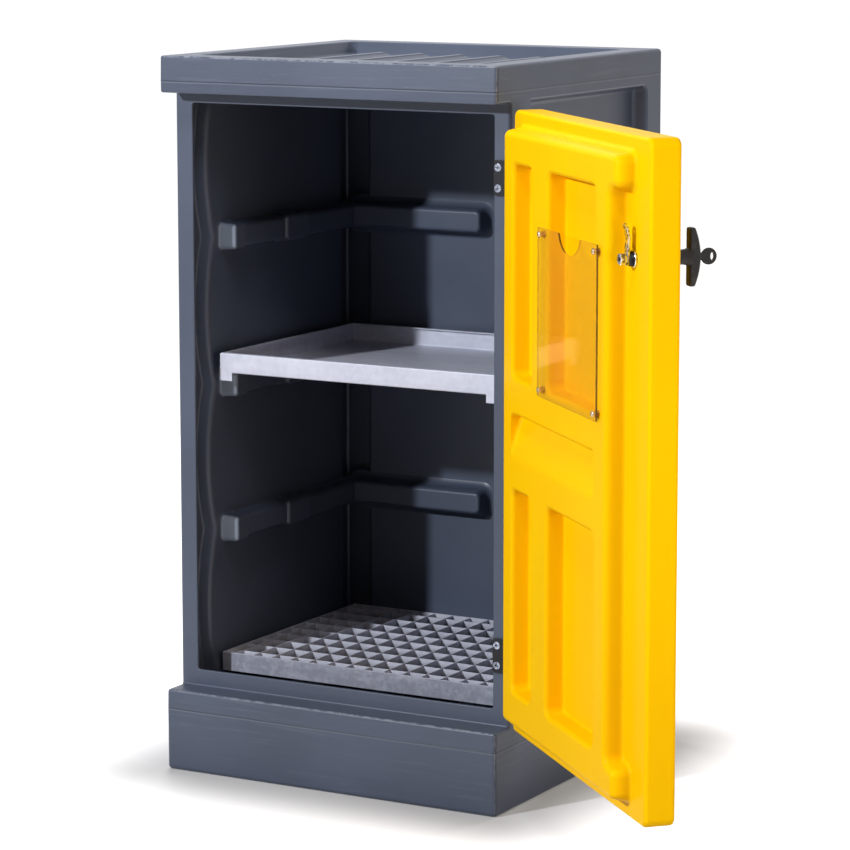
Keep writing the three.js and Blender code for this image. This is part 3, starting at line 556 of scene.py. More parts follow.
def screwPlate(name, *tones):
    return blotched(name, tones, {"scale": 260, "detail": 2}, (0.4, 0.65), 0.22, metallic=0.9)


acrylic = Settings(
    tint=(1.0, 0.50, 0.06, 1), gloss=0.48, leastGloss=0.05,
    smear={"scale": 30, "detail": 3}, streak={"scale": 120, "detail": 2},
)


def clearAcrylic():
    made = Finish("clear_acrylic", base_color=acrylic.tint, metallic=0.6)
    slant = made.node("ShaderNodeLayerWeight", {}, {"Blend": 0.5}, output=1)
    smear = made.noise(**acrylic.smear)
    gloss = slant ** 3 * acrylic.gloss + acrylic.leastGloss
    made.set(alpha=gloss + smear * 0.03, roughness=0.03 + smear * 0.03)
    return made.material


def acrylicEdge(name, colour, least):
    made = Finish(name, base_color=shade(colour), roughness=0.2, specular_ior_level=0.2)
    made.set(alpha=least + made.noise(**acrylic.streak) * 0.4)
    return made.material


coat = {"scale": 420, "detail": 3}
steelTones = (0.010, 0.010, 0.012), (0.020, 0.020, 0.023)
wear, pores = {"scale": 70, "detail": 4}, {"scale": 650, "detail": 2}
blackTones = (0.020, 0.019, 0.020), (0.045, 0.043, 0.043)

slateFinish = slatePlastic()
yellowFinish = yellowPlastic()
zincFinish = galvanisedSteel()
chromeFinish = chromePlate()
steelFinish = blotched("black_steel", steelTones, coat, (0.4, 0.7), 0.36, coat, specular_ior_level=0.2)
blackFinish = blotched(
    "black_plastic", blackTones, wear, (0.5, 0.8), 0.34, pores, specular_ior_level=0.25
)
clearFinish = clearAcrylic()
clearEdgeFinish = acrylicEdge("acrylic_edge", (0.50, 0.24, 0.04), 0.22)
# the dark edge colour is painted shade on the sheet's latch-side edge
shadedEdgeFinish = acrylicEdge("acrylic_shaded_edge", (0.09, 0.035, 0.008), 0.65)
print("finishes made")


# Cabinet body

width, depth, height = (cabinetHigh - cabinetLow) / mm

opening = Settings(left=31, right=27, sill=26, header=17, corner=4, lip=1.6, steps=3)
sunken = Settings(
    depth=22, front=65, rear=55, back=60, corner=12, lip=5, floor=8,
    innerRoot=5, innerTip=9, draft=3, bow=19, bowSteps=10,
)
ledges = Settings(
    count=3, lowestTop=385.5, pitch=230.5, height=42, reach=30, ribReach=24,
    ribStep=5, front=118, frontBlock=40, middleFrom=276, middleBlock=65,
    backReach=30, backHeight=40, backEnd=287, backGap=40, backPast=30,
    backCorner=11, corner=9, root=5, tip=6, draft=1.0, backRoot=13,
    backDraft=1.5, buried=8, intoBack=4,
)
dents = Settings(lip=4, floor=7, draft=2, corner=7, margin=6)
posts = Settings(
    top=20, base=34, across=300, along=240, middle=314, height=139.7,
    root=4, rim=3, rimOut=2, rimIn=1.5,
)
lidTray = Settings(
    side=45, front=43, back=50, depth=20, draft=5, corner=16, lip=4, floor=7,
)
ribs = Settings(
    count=5, pitch=71, width=40, height=9, slope=14, steps=8, front=22,
    back=65, corner=15, buried=4,
)
lidBottom = height - shell.lid
sillTop = shell.plinth + opening.sill
headerBottom = lidBottom - opening.header
sideFace = sunken.depth + shell.wall


def fromLeft(a, b, s):
    return (s, a, b)


def fromRight(a, b, s):
    return (width - s, a, b)


def fromBack(a, b, s):
    return (a, depth - s, b)


def fromTop(a, b, s):
    return (a, b, height - s)


def upright(a, b, s):
    return (a, b, s)


def standing(a, b, s):
    return (a, s, b)


def upAt(x, y):
    return lambda a, b, s: (x + a, y + b, s)


def facingAt(x, face, z, facing):
    # facing is the side that the face looks to, along Y
    return lambda a, b, s: (x + a, face - facing * s, z + b)


def bothSides(corners, radii, profile):
    return [mould(corners, radii, profile, place) for place in (fromLeft, fromRight)]


def spread(middle, count, pitch):
    return [middle + (i - (count - 1) / 2) * pitch for i in range(count)]


def bodySide(inset):
    # the cabinet seen from its side: plinth and lid stand out in front of the column
    draft, setback, plinth = shell.draft, shell.setback, shell.plinth
    corners, radii = zip(*[
        ((draft, 0), shell.bottomRadius),
        ((depth, 0), shell.bottomRadius),
        ((depth, height), shell.rearEdge),
        ((draft, height), shell.lidEdge),
        ((0, height - shell.lidParting), 0),
        ((draft / 2, lidBottom), shell.lidUnderEdge),
        ((setback, lidBottom), shell.underLidFillet),
        ((setback, plinth), shell.rootFillet),
        ((draft, plinth), shell.plinthEdge),
        ((0, shell.plinthParting), 0),
    ])
    if inset > 0:
        radii = [max(radius, inset + 1) if radius else 0 for radius in radii]
    ends = solidProfile(inset, width - inset, shell.sideRadius)
    return mould(corners, radii, shifted(ends, -inset, 0), fromLeft)


def partingRidge(level):
    outline = rectangle((0, 0), (width, depth))
    return mould(outline, shell.ridgeCorner, shifted(shell.ridge, 0, level), upright)


def ledgeTops():
    return [ledges.lowestTop + i * ledges.pitch for i in range(ledges.count)]


def scallopedPanel():
    # the sunken side panel's outline in depth and height: its front edge bows between the ledges
    front = shell.setback + sunken.front
    rear = depth - sunken.rear
    low, high = shell.plinth, lidBottom
    middles = [top - ledges.height / 2 for top in reversed(ledgeTops())]
    cusps = [high, *middles, low]
    corners = [(rear, low), (rear, high)]
    steps = sunken.bowSteps
    for top, bottom in zip(cusps, cusps[1:]):
        for k in range(steps):
            share = k / steps
            bow = sunken.bow * (1 - (2 * share - 1) ** 2)
            corners.append((front - bow, top + (bottom - top) * share))
    corners.append((front, low))
    return corners, [sunken.corner] * 2 + [0] * (len(corners) - 2)


def panelForms(profile):
    corners, radii = scallopedPanel()
    back = rectangle((sunken.back, shell.plinth), (width - sunken.back, lidBottom))
    return bothSides(corners, radii, profile) + [mould(back, sunken.corner, profile, fromBack)]


def panelCuts():
    return panelForms(archProfile(sunken.depth, sunken.lip, sunken.floor, sunken.draft))


def panelBulges():
    # the same panels from inside, one wall further in
    wall = shell.wall
    profile = archProfile(sunken.depth, sunken.innerRoot, sunken.innerTip, sunken.draft, wall + overlap)
    return panelForms(shifted(profile, wall, wall))


def backStretches(outer, inner):
    # the back ledge's two halves, with their outer and inner ends moved out
    start, end = ledges.backEnd, ledges.backEnd + ledges.backGap
    return (sunken.back - outer, start + inner), (end - inner, width - sunken.back + outer)


def ledgeForms():
    forms = []
    front, middle = ledges.front, ledges.middleFrom
    rear = depth - sideFace + ledges.intoBack
    stretches = [
        (ledges.reach, front, front + ledges.frontBlock, 0),
        (ledges.ribReach, front + ledges.ribStep, rear, 2),
        (ledges.reach, middle, middle + ledges.middleBlock, -1),
    ]
    back = archProfile(ledges.backReach, ledges.backRoot, ledges.tip, ledges.backDraft, ledges.buried)
    back = shifted(back, 0, sideFace)
    for top in ledgeTops():
        low = top - ledges.height
        for reach, start, end, shy in stretches:
            side = archProfile(reach, ledges.root, ledges.tip, ledges.draft, ledges.buried)
            corners = rectangle((start, low + shy), (end, top - shy))
            forms += bothSides(corners, ledges.corner, shifted(side, 0, sideFace))
        for start, end in backStretches(ledges.backPast, 0):
            corners = rectangle((start, top - ledges.backHeight), (end, top))
            forms.append(mould(corners, ledges.backCorner, back, fromBack))
    return forms


def dentProfile(reach):
    dent = archProfile(reach - shell.wall, dents.lip, dents.floor, dents.draft)
    return shifted(dent, 0, sunken.depth)


def ledgeDents():
    # the hollows that the ledges leave in the outside of the panels
    forms = []
    wall, corner = shell.wall, dents.corner
    side, back = dentProfile(ledges.ribReach), dentProfile(ledges.backReach)
    rear = depth - sunken.rear - dents.margin
    for top in ledgeTops():
        low = top - ledges.height + wall
        forms += bothSides(rectangle((ledges.front + wall, low), (rear, top - wall)), corner, side)
        low = top - ledges.backHeight + wall
        for start, end in backStretches(-dents.margin, -wall):
            forms.append(mould(rectangle((start, low), (end, top - wall)), corner, back, fromBack))
    return forms


def postForms(inset):
    forms = []
    base, top, high = posts.base - inset, posts.top - inset, posts.height - inset
    profile = [
        (base, -overlap),
        (base, 0 if inset else shell.wall + posts.root),
        (top + posts.rimOut, high - posts.rim),
        (top - posts.rimIn, high),
    ]
    for side in (-1, 1):
        for end in (-1, 1):
            x = width / 2 + side * posts.across / 2
            y = posts.middle + end * posts.along / 2
            forms.append(turned(profile, upAt(x, y)))
    return forms


def trayCut(inset):
    profile = archProfile(lidTray.depth + inset, lidTray.lip, lidTray.floor, lidTray.draft)
    near, far = lidTray.front, depth - lidTray.back
    corners = rectangle((lidTray.side, near), (width - lidTray.side, far))
    return mould(corners, lidTray.corner, shifted(profile, inset, 0), fromTop)


def trayRibs(inset):
    floor = height - lidTray.depth
    steps = ribs.steps
    swell = [
        (-ribs.slope * (1 - math.cos(math.pi * k / steps)) / 2, floor + ribs.height * k / steps)
        for k in range(steps + 1)
    ]
    profile = shifted([(0, floor - ribs.buried), *swell], -inset, -inset)
    near, far = lidTray.front + ribs.front, depth - lidTray.back - ribs.back
    half = ribs.width / 2
    forms = []
    for centre in spread(width / 2, ribs.count, ribs.pitch):
        corners = rectangle((centre - half, near), (centre + half, far))
        forms.append(mould(corners, ribs.corner, profile, upright))
    return forms


def doorwayCut():
    # both edges of the opening in the front wall are rounded
    corners = rectangle((opening.left, sillTop), (width - opening.right, headerBottom))
    lip, wall, turns = opening.lip, shell.wall, quarter(opening.steps, lipStart)
    outer = [(lip * (1 - math.sin(t)), lip * (1 - math.cos(t))) for t in turns]
    inner = [(offset, wall - rise) for offset, rise in reversed(outer)]
    last = outer[0][0]
    profile = [(last, -overlap), *outer, *inner, (last, wall + overlap)]
    return mould(corners, opening.corner, profile, lambda a, b, s: (a, shell.setback + s, b))


def cabinetBody():
    wall = shell.wall
    bulges = panelBulges() + ledgeForms() + postForms(0) + [trayCut(wall)]
    cavity = carved("cavity", bodySide(wall), *[(cut, form) for form in bulges])
    hollow = carved("cavity", cavity, (join, merged(*trayRibs(wall))))
    outside = panelCuts() + ledgeDents() + postForms(wall) + [trayCut(0)]
    body = carved(
        "body",
        bodySide(0),
        (join, partingRidge(shell.plinthParting)),
        (join, partingRidge(height - shell.lidParting)),
        *[(cut, form) for form in outside],
        (join, merged(*trayRibs(0))),
        (cut, hollow),
        (cut, doorwayCut()),
    )
    finished("cabinet_shell", body, slateFinish, "cabinet", "cabinet_body")


cabinetBody()
print("cabinet body made")


# Sump grating and shelf tray

mesh = Settings(
    band=3, bar=2, pitchAcross=33.5, pitchAlong=44.6, corner=1.5, edge=0.5, barEdge=0.3,
    intoBand=1,  # of the bars' ends, short of the band's outside
    barRise=0.5, bearingDrop=0.3,
    crossDrop=1.2,  # of the thinner cross bars below the bearing bars
    past=5,
)


def barPlaces(low, high, pitch):
    count = 2 * math.floor((high - low) / 2 / pitch) + 1
    return spread((low + high) / 2, count, pitch)


def sumpGrating():
    low, high = span("sump_grating", cabinetPlace)
    band, half, into, past = mesh.band, mesh.bar / 2, mesh.intoBand, mesh.past
    foot, top = low.z + mesh.barRise, high.z - mesh.crossDrop
    across = [
        box((low.x + into, y - half, foot), (high.x - into, y + half, top), mesh.barEdge)
        for y in barPlaces(low.y + band, high.y - band, mesh.pitchAlong)
    ]
    top = high.z - mesh.bearingDrop
    bearing = [
        box((x - half, low.y + into, foot), (x + half, high.y - into, top), mesh.barEdge)
        for x in barPlaces(low.x + band, high.x - band, mesh.pitchAcross)
    ]
    outer = solidProfile(low.z, high.z, mesh.edge, steps=2)
    outer = mould(rectangle(low, high), mesh.corner, outer, upright, 3)
    inner = box((low.x + band, low.y + band, low.z - past), (high.x - band, high.y - band, high.z + past))
    form = carved("grating", outer, (cut, inner), (join, merged(*across)), (join, merged(*bearing)))
    finished("grating_mesh", form, zincFinish, "grating", "sump_grating")


tray = Settings(
    sheet=1.5, corner=2.0, innerCorner=1.5, lip=8, lipCorner=3, bend=2.2,
    topEdge=1.2, innerEdge=0.6, mouthFrom=6, leg=22.5, legDrop=12,
    legEdge=0.35, fold=6.5, foldStep=0.5, foldEdge=0.4, foldInset=1,
)


def shelfTray():
    low, high = span("shelf_tray", cabinetPlace)
    floor = low.z + tray.legDrop
    t, lip, inset = tray.sheet, tray.lip, tray.foldInset
    sheet, lipIn = Vector((t, t, 0)), Vector((lip, lip, 0))
    profile = solidProfile(floor, high.z, tray.bend, tray.topEdge, steps=3)
    outer = mould(rectangle(low, high), tray.corner, profile, upright, 3)
    profile = solidProfile(floor + t, high.z - t, tray.bend, tray.innerEdge, steps=3)
    hollow = mould(rectangle(low + sheet, high - sheet), tray.innerCorner, profile, upright, 3)
    profile = [(0, floor + tray.mouthFrom), (0, high.z + overlap)]
    mouth = mould(rectangle(low + lipIn, high - lipIn), tray.lipCorner, profile, upright, 3)
    legs = merged(*[
        box((x, low.y, low.z), (x + tray.leg, low.y + t, floor + tray.legDrop), tray.legEdge)
        for x in (low.x, high.x - tray.leg)
    ])
    strip = box(
        (low.x + inset, low.y - tray.foldStep, floor + tray.fold),
        (high.x - inset, low.y + inset, high.z - t),
        tray.foldEdge,
    )
    form = carved("tray", outer, (cut, hollow), (cut, mouth), (join, legs), (join, strip))
    finished("shelf_tray_sheet", form, zincFinish, "shelf", "shelf_tray")


sumpGrating()
shelfTray()
print("grating and shelf made")


# Door

slabLow, slabHigh = span("door_panel")
doorWidth = slabHigh.x - slabLow.x
doorBottom, doorTop = slabLow.z, slabHigh.z
doorMiddle = (doorBottom + doorTop) / 2
raisedBy = 28
innerFace = slabHigh.y - raisedBy
slab = Settings(thickness=44, corner=12, edge=5.5)
padFrame = Settings(
    hinge=32, corner=50, free=83, top=22.5, bottom=24, topCorner=49.5,
    bottomCorner=47, round=13, blockRound=15, root=7, tip=10, draft=2.5, buried=6,
)
wells = Settings(
    hinge=79, narrow=83, rib=68, free=132, bottom=80, top=72, cross=164,
    corner=12, lip=7, floor=5, draft=1.5,
)
channel = Settings(
    hinge=75, free=130, aboveMiddle=27.5, depth=19, flat=6, ramp=55,
    skim=0.02, outside=8, above=40, below=120, footRound=30, rampRound=10, floorRound=6, lipRound=7,
)
rebate = Settings(start=-3, end=29, half=27, corner=3, depth=5.6)
hingeSet = Settings(
    leafHeight=52, edge=0.3, corner=3, innerCorner=0.5, knuckle=6.25,
    knuckleEdge=0.5, knuckleGap=0.5, bite=2, shy=0.02, edgeBand=2,
    screwSpacing=30.4, countersink=[(7.1, -1), (6.3, 0.1), (3.2, 2.9), (3.2, 5)],
    pinPast=0.3, pinHead=[(4.2, 0), (4.2, 0.7), (3.2, 1.4), (1.8, 1.5)], pin=3,
    pinEdge=0.6, sides=32,
)
hingeLevels = []
for name in ("upper", "lower"):
    pinLow, pinHigh = span(name + "_hinge_pin")
    hingeLevels.append((pinLow.z + pinHigh.z - hingeSet.pinHead[-1][1]) / 2)


def doorAt(u, w, z):
    # along the door from its hinge edge, out from its inner face, up
    return (slabHigh.x - u, innerFace - w, z)


def intoSlab(u, z, s):
    return doorAt(u, s, z)


def intoFrame(u, z, s):
    return doorAt(u, s - raisedBy, z)


def channelCut():
    # a wedge across the frame: a short flat floor under its upper edge, then a long ramp
    top = doorMiddle + channel.aboveMiddle
    face, floor, outside = -channel.skim, channel.depth, -channel.outside
    corners, radii = zip(*[
        ((outside, top + channel.above), 0),
        ((outside, top - channel.below), 0),
        ((face, top - channel.below), 0),
        ((face, top - channel.flat - channel.ramp), channel.footRound),
        ((floor, top - channel.flat), channel.rampRound),
        ((floor, top), channel.floorRound),
        ((face, top), channel.lipRound),
        ((face, top + channel.above), 0),
    ])
    ends = solidProfile(channel.hinge, doorWidth - channel.free, channel.lipRound)
    return mould(corners, radii, ends, lambda s, z, u: intoFrame(u, z, s))


def doorPanel():
    outline = rectangle((0, doorBottom), (doorWidth, doorTop))
    base = mould(outline, slab.corner, solidProfile(0, slab.thickness, slab.edge), intoSlab)
    free = doorWidth - padFrame.free
    freeCorner = doorWidth - padFrame.corner
    bottom, top = doorBottom + padFrame.bottom, doorTop - padFrame.top
    plain, soft = padFrame.round, padFrame.blockRound
    corners, radii = zip(*[
        ((padFrame.hinge, bottom), plain),
        ((freeCorner, bottom), plain),
        ((freeCorner, bottom + padFrame.bottomCorner), plain),
        ((free, bottom + padFrame.bottomCorner), plain),
        ((free, top - padFrame.topCorner), plain),
        ((freeCorner, top - padFrame.topCorner), soft),
        ((freeCorner, top), soft),
        ((padFrame.hinge, top), plain),
    ])
    profile = archProfile(raisedBy, padFrame.root, padFrame.tip, padFrame.draft, padFrame.buried)
    steps = [(join, mould(corners, radii, profile, lambda u, z, s: doorAt(u, -s, z)))]
    narrow = wells.hinge, wells.hinge + wells.narrow
    wide = narrow[1] + wells.rib, doorWidth - wells.free
    lower = doorBottom + wells.bottom, doorMiddle - wells.cross / 2
    upper = doorMiddle + wells.cross / 2, doorTop - wells.top
    profile = archProfile(raisedBy, wells.lip, wells.floor, wells.draft)
    for start, end in (narrow, wide):
        for low, high in (lower, upper):
            form = mould(rectangle((start, low), (end, high)), wells.corner, profile, intoFrame)
            steps.append((cut, form))
    steps.append((cut, channelCut()))
    for z in hingeLevels:
        corners = rectangle((rebate.start, z - rebate.half), (rebate.end, z + rebate.half))
        form = mould(corners, rebate.corner, [(0, -overlap), (0, rebate.depth)], intoSlab, 3)
        steps.append((cut, form))
    form = carved("door", base, *steps)
    finished("door_moulding", form, yellowFinish, "door", "door_panel")


doorPanel()
print("door made")


# Screws, and the hinges

recess = Settings(taper=0.55, slot=0.36)
hingeScrew = Settings(
    profile=[(4.6, -0.15), (5.6, 0.0), (6.0, 0.35), (5.7, 0.7), (2.6, 2.6), (2.5, 15.5), (1.6, 16)],
    sides=36, cross=(3.0, 1.9),
    finish=screwPlate("hinge_screw_plate", (0.34, 0.36, 0.43), (0.12, 0.13, 0.17)),
)
pocketScrew = Settings(
    profile=[
        (1.8, -0.05), (3.2, 0.12), (4.1, 0.75), (4.5, 1.6), (4.5, 2.4), (2, 2.4), (2, 17.6), (1.2, 18.4)
    ],
    sides=32, cross=(2.2, 1.6),
    # the warm tones stand in for the yellow door mirrored in the nickel heads: a painted reflection
    finish=screwPlate("pocket_screw_painted_reflection", (0.66, 0.52, 0.36), (0.34, 0.22, 0.12)),
)


def crossRecess(size, deep, place):
    # two tapered slots that cross
    arms = []
    for turn in (0, 1):
        form = bmesh.new()
        bmesh.ops.create_cube(form, size=1)
        for vertex in form.verts:
            outer = vertex.co.z > 0
            share = 1.0 if outer else recess.taper
            a = vertex.co.x * 2 * size * share
            b = vertex.co.y * size * recess.slot * share
            vertex.co = place(*((a, b) if turn == 0 else (b, a)), -1.0 if outer else deep)
        bmesh.ops.recalc_face_normals(form, faces=form.faces)
        arms.append((cut, form))
    return arms


def crossScrew(node, kind, body, x, face, z, facing=1):
    at = facingAt(x, face, z, facing)
    form = carved(node, turned(kind.profile, at, kind.sides), *crossRecess(*kind.cross, at))
    finished(node + "_plated", form, kind.finish, body, node)


def knuckleForm(x, y, low, high):
    r, edge = hingeSet.knuckle, hingeSet.knuckleEdge
    profile = [(r - edge, low), (r, low + edge), (r, high - edge), (r - edge, high)]
    return turned(profile, upAt(x, y), hingeSet.sides)


def hingeLeaf(node, body, axis, middle, levels, leafX, leafY, screwX, facing):
    # a plate with knuckles round the pin's axis
    third = (hingeSet.leafHeight - 2 * hingeSet.knuckleGap) / 3
    half, inner, shy = hingeSet.leafHeight / 2, hingeSet.innerCorner, hingeSet.shy
    plate = mould(
        rectangle((leafX[0], middle - half), (leafX[1], middle + half)),
        [hingeSet.corner, inner, inner, hingeSet.corner],
        solidProfile(*leafY, hingeSet.edge, steps=2),
        standing,
        4,
    )
    steps = []
    for level in levels:
        centre = middle + level * (third + hingeSet.knuckleGap)
        low, high = centre - third / 2, centre + third / 2
        steps.append((join, knuckleForm(*axis, low, high)))
        web = box((leafX[1] - hingeSet.bite, leafY[0], low + shy), (axis[0], leafY[1], high - shy))
        steps.append((join, web))
    face = leafY[0] if facing < 0 else leafY[1]
    for side in (-1, 1):
        z = middle + side * hingeSet.screwSpacing / 2
        at = facingAt(screwX, face, z, facing)
        steps.append((cut, turned(hingeSet.countersink, at, hingeSet.sides)))
    finished(node + "_steel", carved(node, plate, *steps), steelFinish, body, node)


def hingePin(node, axis, middle):
    half = hingeSet.leafHeight / 2 + hingeSet.pinPast
    pin, edge = hingeSet.pin, hingeSet.pinEdge
    profile = [(pin - edge, middle - half), (pin, middle - half + edge), (pin, middle + half)]
    profile += shifted(hingeSet.pinHead, 0, middle + half)
    form = turned(profile, upAt(*axis), hingeSet.sides)
    finished(node + "_steel", form, steelFinish, "cabinet", node)


def leafPlate(node, place):
    # the flat plate of a leaf, from the node's points furthest from its knuckles
    points = [place.inverted() @ vertex.co for vertex in frame["nodes"][node].data.vertices]
    edge = min(point.x for point in points)
    levels = [point.y for point in points if point.x < edge + hingeSet.edgeBand]
    return edge, (min(levels), max(levels))


def hinges():
    for name, middle in zip(("upper", "lower"), hingeLevels):
        low, high = span(name + "_hinge_pin", cabinetPlace)
        pinAxis = ((low.x + high.x) / 2, (low.y + high.y) / 2)
        leaves = [
            ("_hinge_body_leaf", "_jamb_screw_", "cabinet", pinAxis, (-1, 1), -1),
            ("_hinge_door_leaf", "_door_screw_", "door", (0.0, 0.0), (0,), 1),
        ]
        for leaf, screw, body, axis, levels, facing in leaves:
            edge, plate = leafPlate(name + leaf, placeOf(body))
            low, high = span(name + screw + "top", placeOf(body))
            screwX = (low.x + high.x) / 2
            reach = (edge, axis[0] - hingeSet.knuckle - hingeSet.knuckleGap)
            hingeLeaf(name + leaf, body, axis, middle, levels, reach, plate, screwX, facing)
            for end in ("top", "bottom"):
                low, high = span(name + screw + end, placeOf(body))
                face = low.y if facing < 0 else high.y
                x, z = (low.x + high.x) / 2, (low.z + high.z) / 2
                crossScrew(name + screw + end, hingeScrew, body, x, face, z, facing)
        hingePin(name + "_hinge_pin", pinAxis, middle)


hinges()
print("hinges made")


# Document pocket

clearPocket = Settings(
    notchOffset=9.75, notchWidth=85, notchDepth=26.5, notchPower=1.15,
    notchSteps=32, mouth=1.5, mouthCorner=3, corner=2, edge=0.35, hole=2.4, spacer=5,
)


def documentPocket():
    low, high = span("document_pocket")
    middle = (low.x + high.x) / 2 - clearPocket.notchOffset
    half = clearPocket.notchWidth / 2
    steps = clearPocket.notchSteps
    notch = []
    for k in range(2, steps - 1):
        turn = math.pi * k / steps
        drop = clearPocket.notchDepth * math.sin(turn) ** clearPocket.notchPower
        notch.append((middle + half * math.cos(turn), high.z - drop))
    mouth = half + clearPocket.mouth
    corners = [(low.x, low.z), (high.x, low.z), (high.x, high.z), (middle + mouth, high.z)]
    corners += notch + [(middle - mouth, high.z), (low.x, high.z)]
    plain, atMouth = clearPocket.corner, clearPocket.mouthCorner
    radii = [plain] * 3 + [atMouth] + [0] * len(notch) + [atMouth, plain]
    form = mould(corners, radii, solidProfile(low.y, high.y, clearPocket.edge, steps=2), standing, 4)
    # the sheet's faces, its edges, and the edge facing the latch side, painted dark as shade
    for face in form.faces:
        face.material_index = 0 if abs(face.normal.y) > 0.9 else 2 if face.normal.x < -0.3 else 1
    sheetFinishes = [clearFinish, clearEdgeFinish, shadedEdgeFinish]
    finished("pocket_sheet", form, sheetFinishes, "door", "document_pocket")
    for corner in ("hinge_side_bottom", "hinge_side_top", "latch_side_bottom", "latch_side_top"):
        pocketFixing(corner)


def pocketFixing(corner):
    node = "pocket_spacer_" + corner
    low, high = span(node)
    x, z = (low.x + high.x) / 2, (low.z + high.z) / 2
    ring = tube(
        clearPocket.hole, clearPocket.spacer, low.y, high.y, lambda a, b, s: (x + a, s, z + b)
    )
    finished(node + "_ring", ring, clearEdgeFinish, "door", node)
    node = "pocket_screw_" + corner
    crossScrew(node, pocketScrew, "door", x, span(node)[1].y, z)


documentPocket()
print("pocket made")


# Latch, handle and key

barrelLow, barrelHigh = span("lock_barrel")
latchX = (barrelLow.x + barrelHigh.x) / 2
latchZ = (barrelLow.z + barrelHigh.z) / 2
leverGap = 0.3
leverFace = barrelHigh.y + leverGap
plugBore = 6.3


def onLatch(a, b, s):
    return (latchX + a, s, latchZ + b)


def latchBox(halfX, halfZ, low, high, edge=0.0):
    return box((latchX - halfX, low, latchZ - halfZ), (latchX + halfX, high, latchZ + halfZ), edge)


def bored(radius, low, high, sides=32):
    return (cut, turned([(radius, low), (radius, high)], onLatch, sides))


def thread(radius, deep, pitch, low, high):
    # a screw thread's crests and roots, as rings
    rows = []
    while low < high:
        rows += [(radius, low), (radius - deep, low + pitch / 2)]
        low += pitch
    return rows


barrel = Settings(
    flange=[(13.4, 0), (14.8, 0.5), (15.8, 2), (16, 3.2), (16, 4), (9.8, 4)], sleeve=9.8,
    threadDeep=0.55, pitch=1.0,
    threadFrom=8.4,  # both from the inner end
    threadTo=1.4, chamfer=0.8,
)


def lockBarrel():
    outer, inner = barrelLow.y, barrelHigh.y
    sleeve, pitch = barrel.sleeve, barrel.pitch
    start, end = inner - barrel.threadFrom, inner - barrel.threadTo
    rows = thread(sleeve, barrel.threadDeep, pitch, start, end)
    profile = shifted(barrel.flange, 0, outer) + rows
    profile += [(sleeve, rows[-1][1] + pitch / 2), (sleeve - barrel.chamfer, inner)]
    bore = bored(plugBore, outer - overlap, inner + overlap)
    form = carved("lock_barrel", turned(profile, onLatch, 48), bore)
    finished("lock_barrel_body", form, blackFinish, "door", "lock_barrel")


nuts = Settings(
    ring=(10.1, 12.5), ringEdge=0.5, hexagon=8.5, corner=0.6, bore=3.3,
    cone=[(7.2, -0.01), (8.6, 0.8)], coneEnd=[(8.6, -1.2), (6.8, 0.01)],
)


def lockNut():
    low, high = span("lock_nut")
    form = tube(*nuts.ring, low.y, high.y, onLatch, nuts.ringEdge, 48)
    finished("lock_nut_ring", form, chromeFinish, "door", "lock_nut")


def camNut():
    low, high = span("cam_nut")
    turns = [math.pi * (k + 0.5) / 3 for k in range(6)]
    hexagon = [(nuts.hexagon * math.sin(turn), -nuts.hexagon * math.cos(turn)) for turn in turns]
    form = mould(hexagon, nuts.corner, [(0, low.y), (0, high.y)], onLatch, 2)
    cone = turned(shifted(nuts.cone, 0, low.y) + shifted(nuts.coneEnd, 0, high.y), onLatch, 48)
    bore = bored(nuts.bore, low.y - overlap, high.y + overlap, 24)
    form = carved("cam_nut", form, (keep, cone), bore)
    finished("cam_nut_hex", form, chromeFinish, "handle", "cam_nut")


grip = Settings(
    width=17, end=8, middle=16, steps=16, round=3, edge=3.5,
    neck=[(13, -4), (12.2, 0), (10.6, 4), (10, 9)], neckGap=0.3, spindle=6,
    spindleShy=0.3, square=3.5, squareFrom=8.8, squareTo=3, stud=3,
    threadDeep=0.35, pitch=0.8, studEnd=[(3, -0.6), (2.4, 0)], boreDepth=14.3,
)


def tHandle():
    low, high = span("t_handle")
    outer = low.y
    half = (high.z - low.z) / 2
    barInner = outer + grip.middle
    bow = []
    for k in range(grip.steps + 1):
        share = 2 * k / grip.steps - 1
        swell = (grip.middle - grip.end) * (1 - share * share)
        bow.append((barInner - grip.end - swell, half * share))
    corners = [(barInner, half), (bow[-1][0], half)] + bow[-2:0:-1] + [(bow[0][0], -half), (barInner, -half)]
    radii = [grip.round] * 2 + [0] * (len(bow) - 2) + [grip.round] * 2
    ends = solidProfile(latchX - grip.width / 2, latchX + grip.width / 2, grip.edge)
    bar = mould([(y, z + latchZ) for y, z in corners], radii, ends, fromLeft)
    neck = shifted(grip.neck, 0, barInner)
    neck.append((neck[-1][0], barrelLow.y - grip.neckGap))
    spindle = [(grip.spindle, barInner), (grip.spindle, leverFace - grip.spindleShy)]
    squareEnd = leverFace + grip.squareTo
    square = latchBox(grip.square, grip.square, leverFace - grip.squareFrom, squareEnd)
    stud = [(grip.stud, leverFace)]
    stud += thread(grip.stud, grip.threadDeep, grip.pitch, squareEnd, high.y - 1)
    stud += shifted(grip.studEnd, 0, high.y)
    form = carved(
        "t_handle",
        bar,
        (join, turned(neck, onLatch)),
        (join, turned(spindle, onLatch)),
        (join, square),
        (join, turned(stud, onLatch, 24)),
        bored(plugBore, outer - overlap, outer + grip.boreDepth),
    )
    finished("t_handle_grip", form, blackFinish, "handle", "t_handle")


lever = Settings(
    width=14, sheet=3, rise=47, kneeRise=27, hub=9,
    kneeBack=2,  # of the bend, towards the door
    tipOut=3, edge=0.4, endRound=0.5, bendRound=5, hubRound=6.5, tipRound=6.9,
    planFrom=12, planTo=14, square=3.8, eye=2.4, eyeInset=7,
)


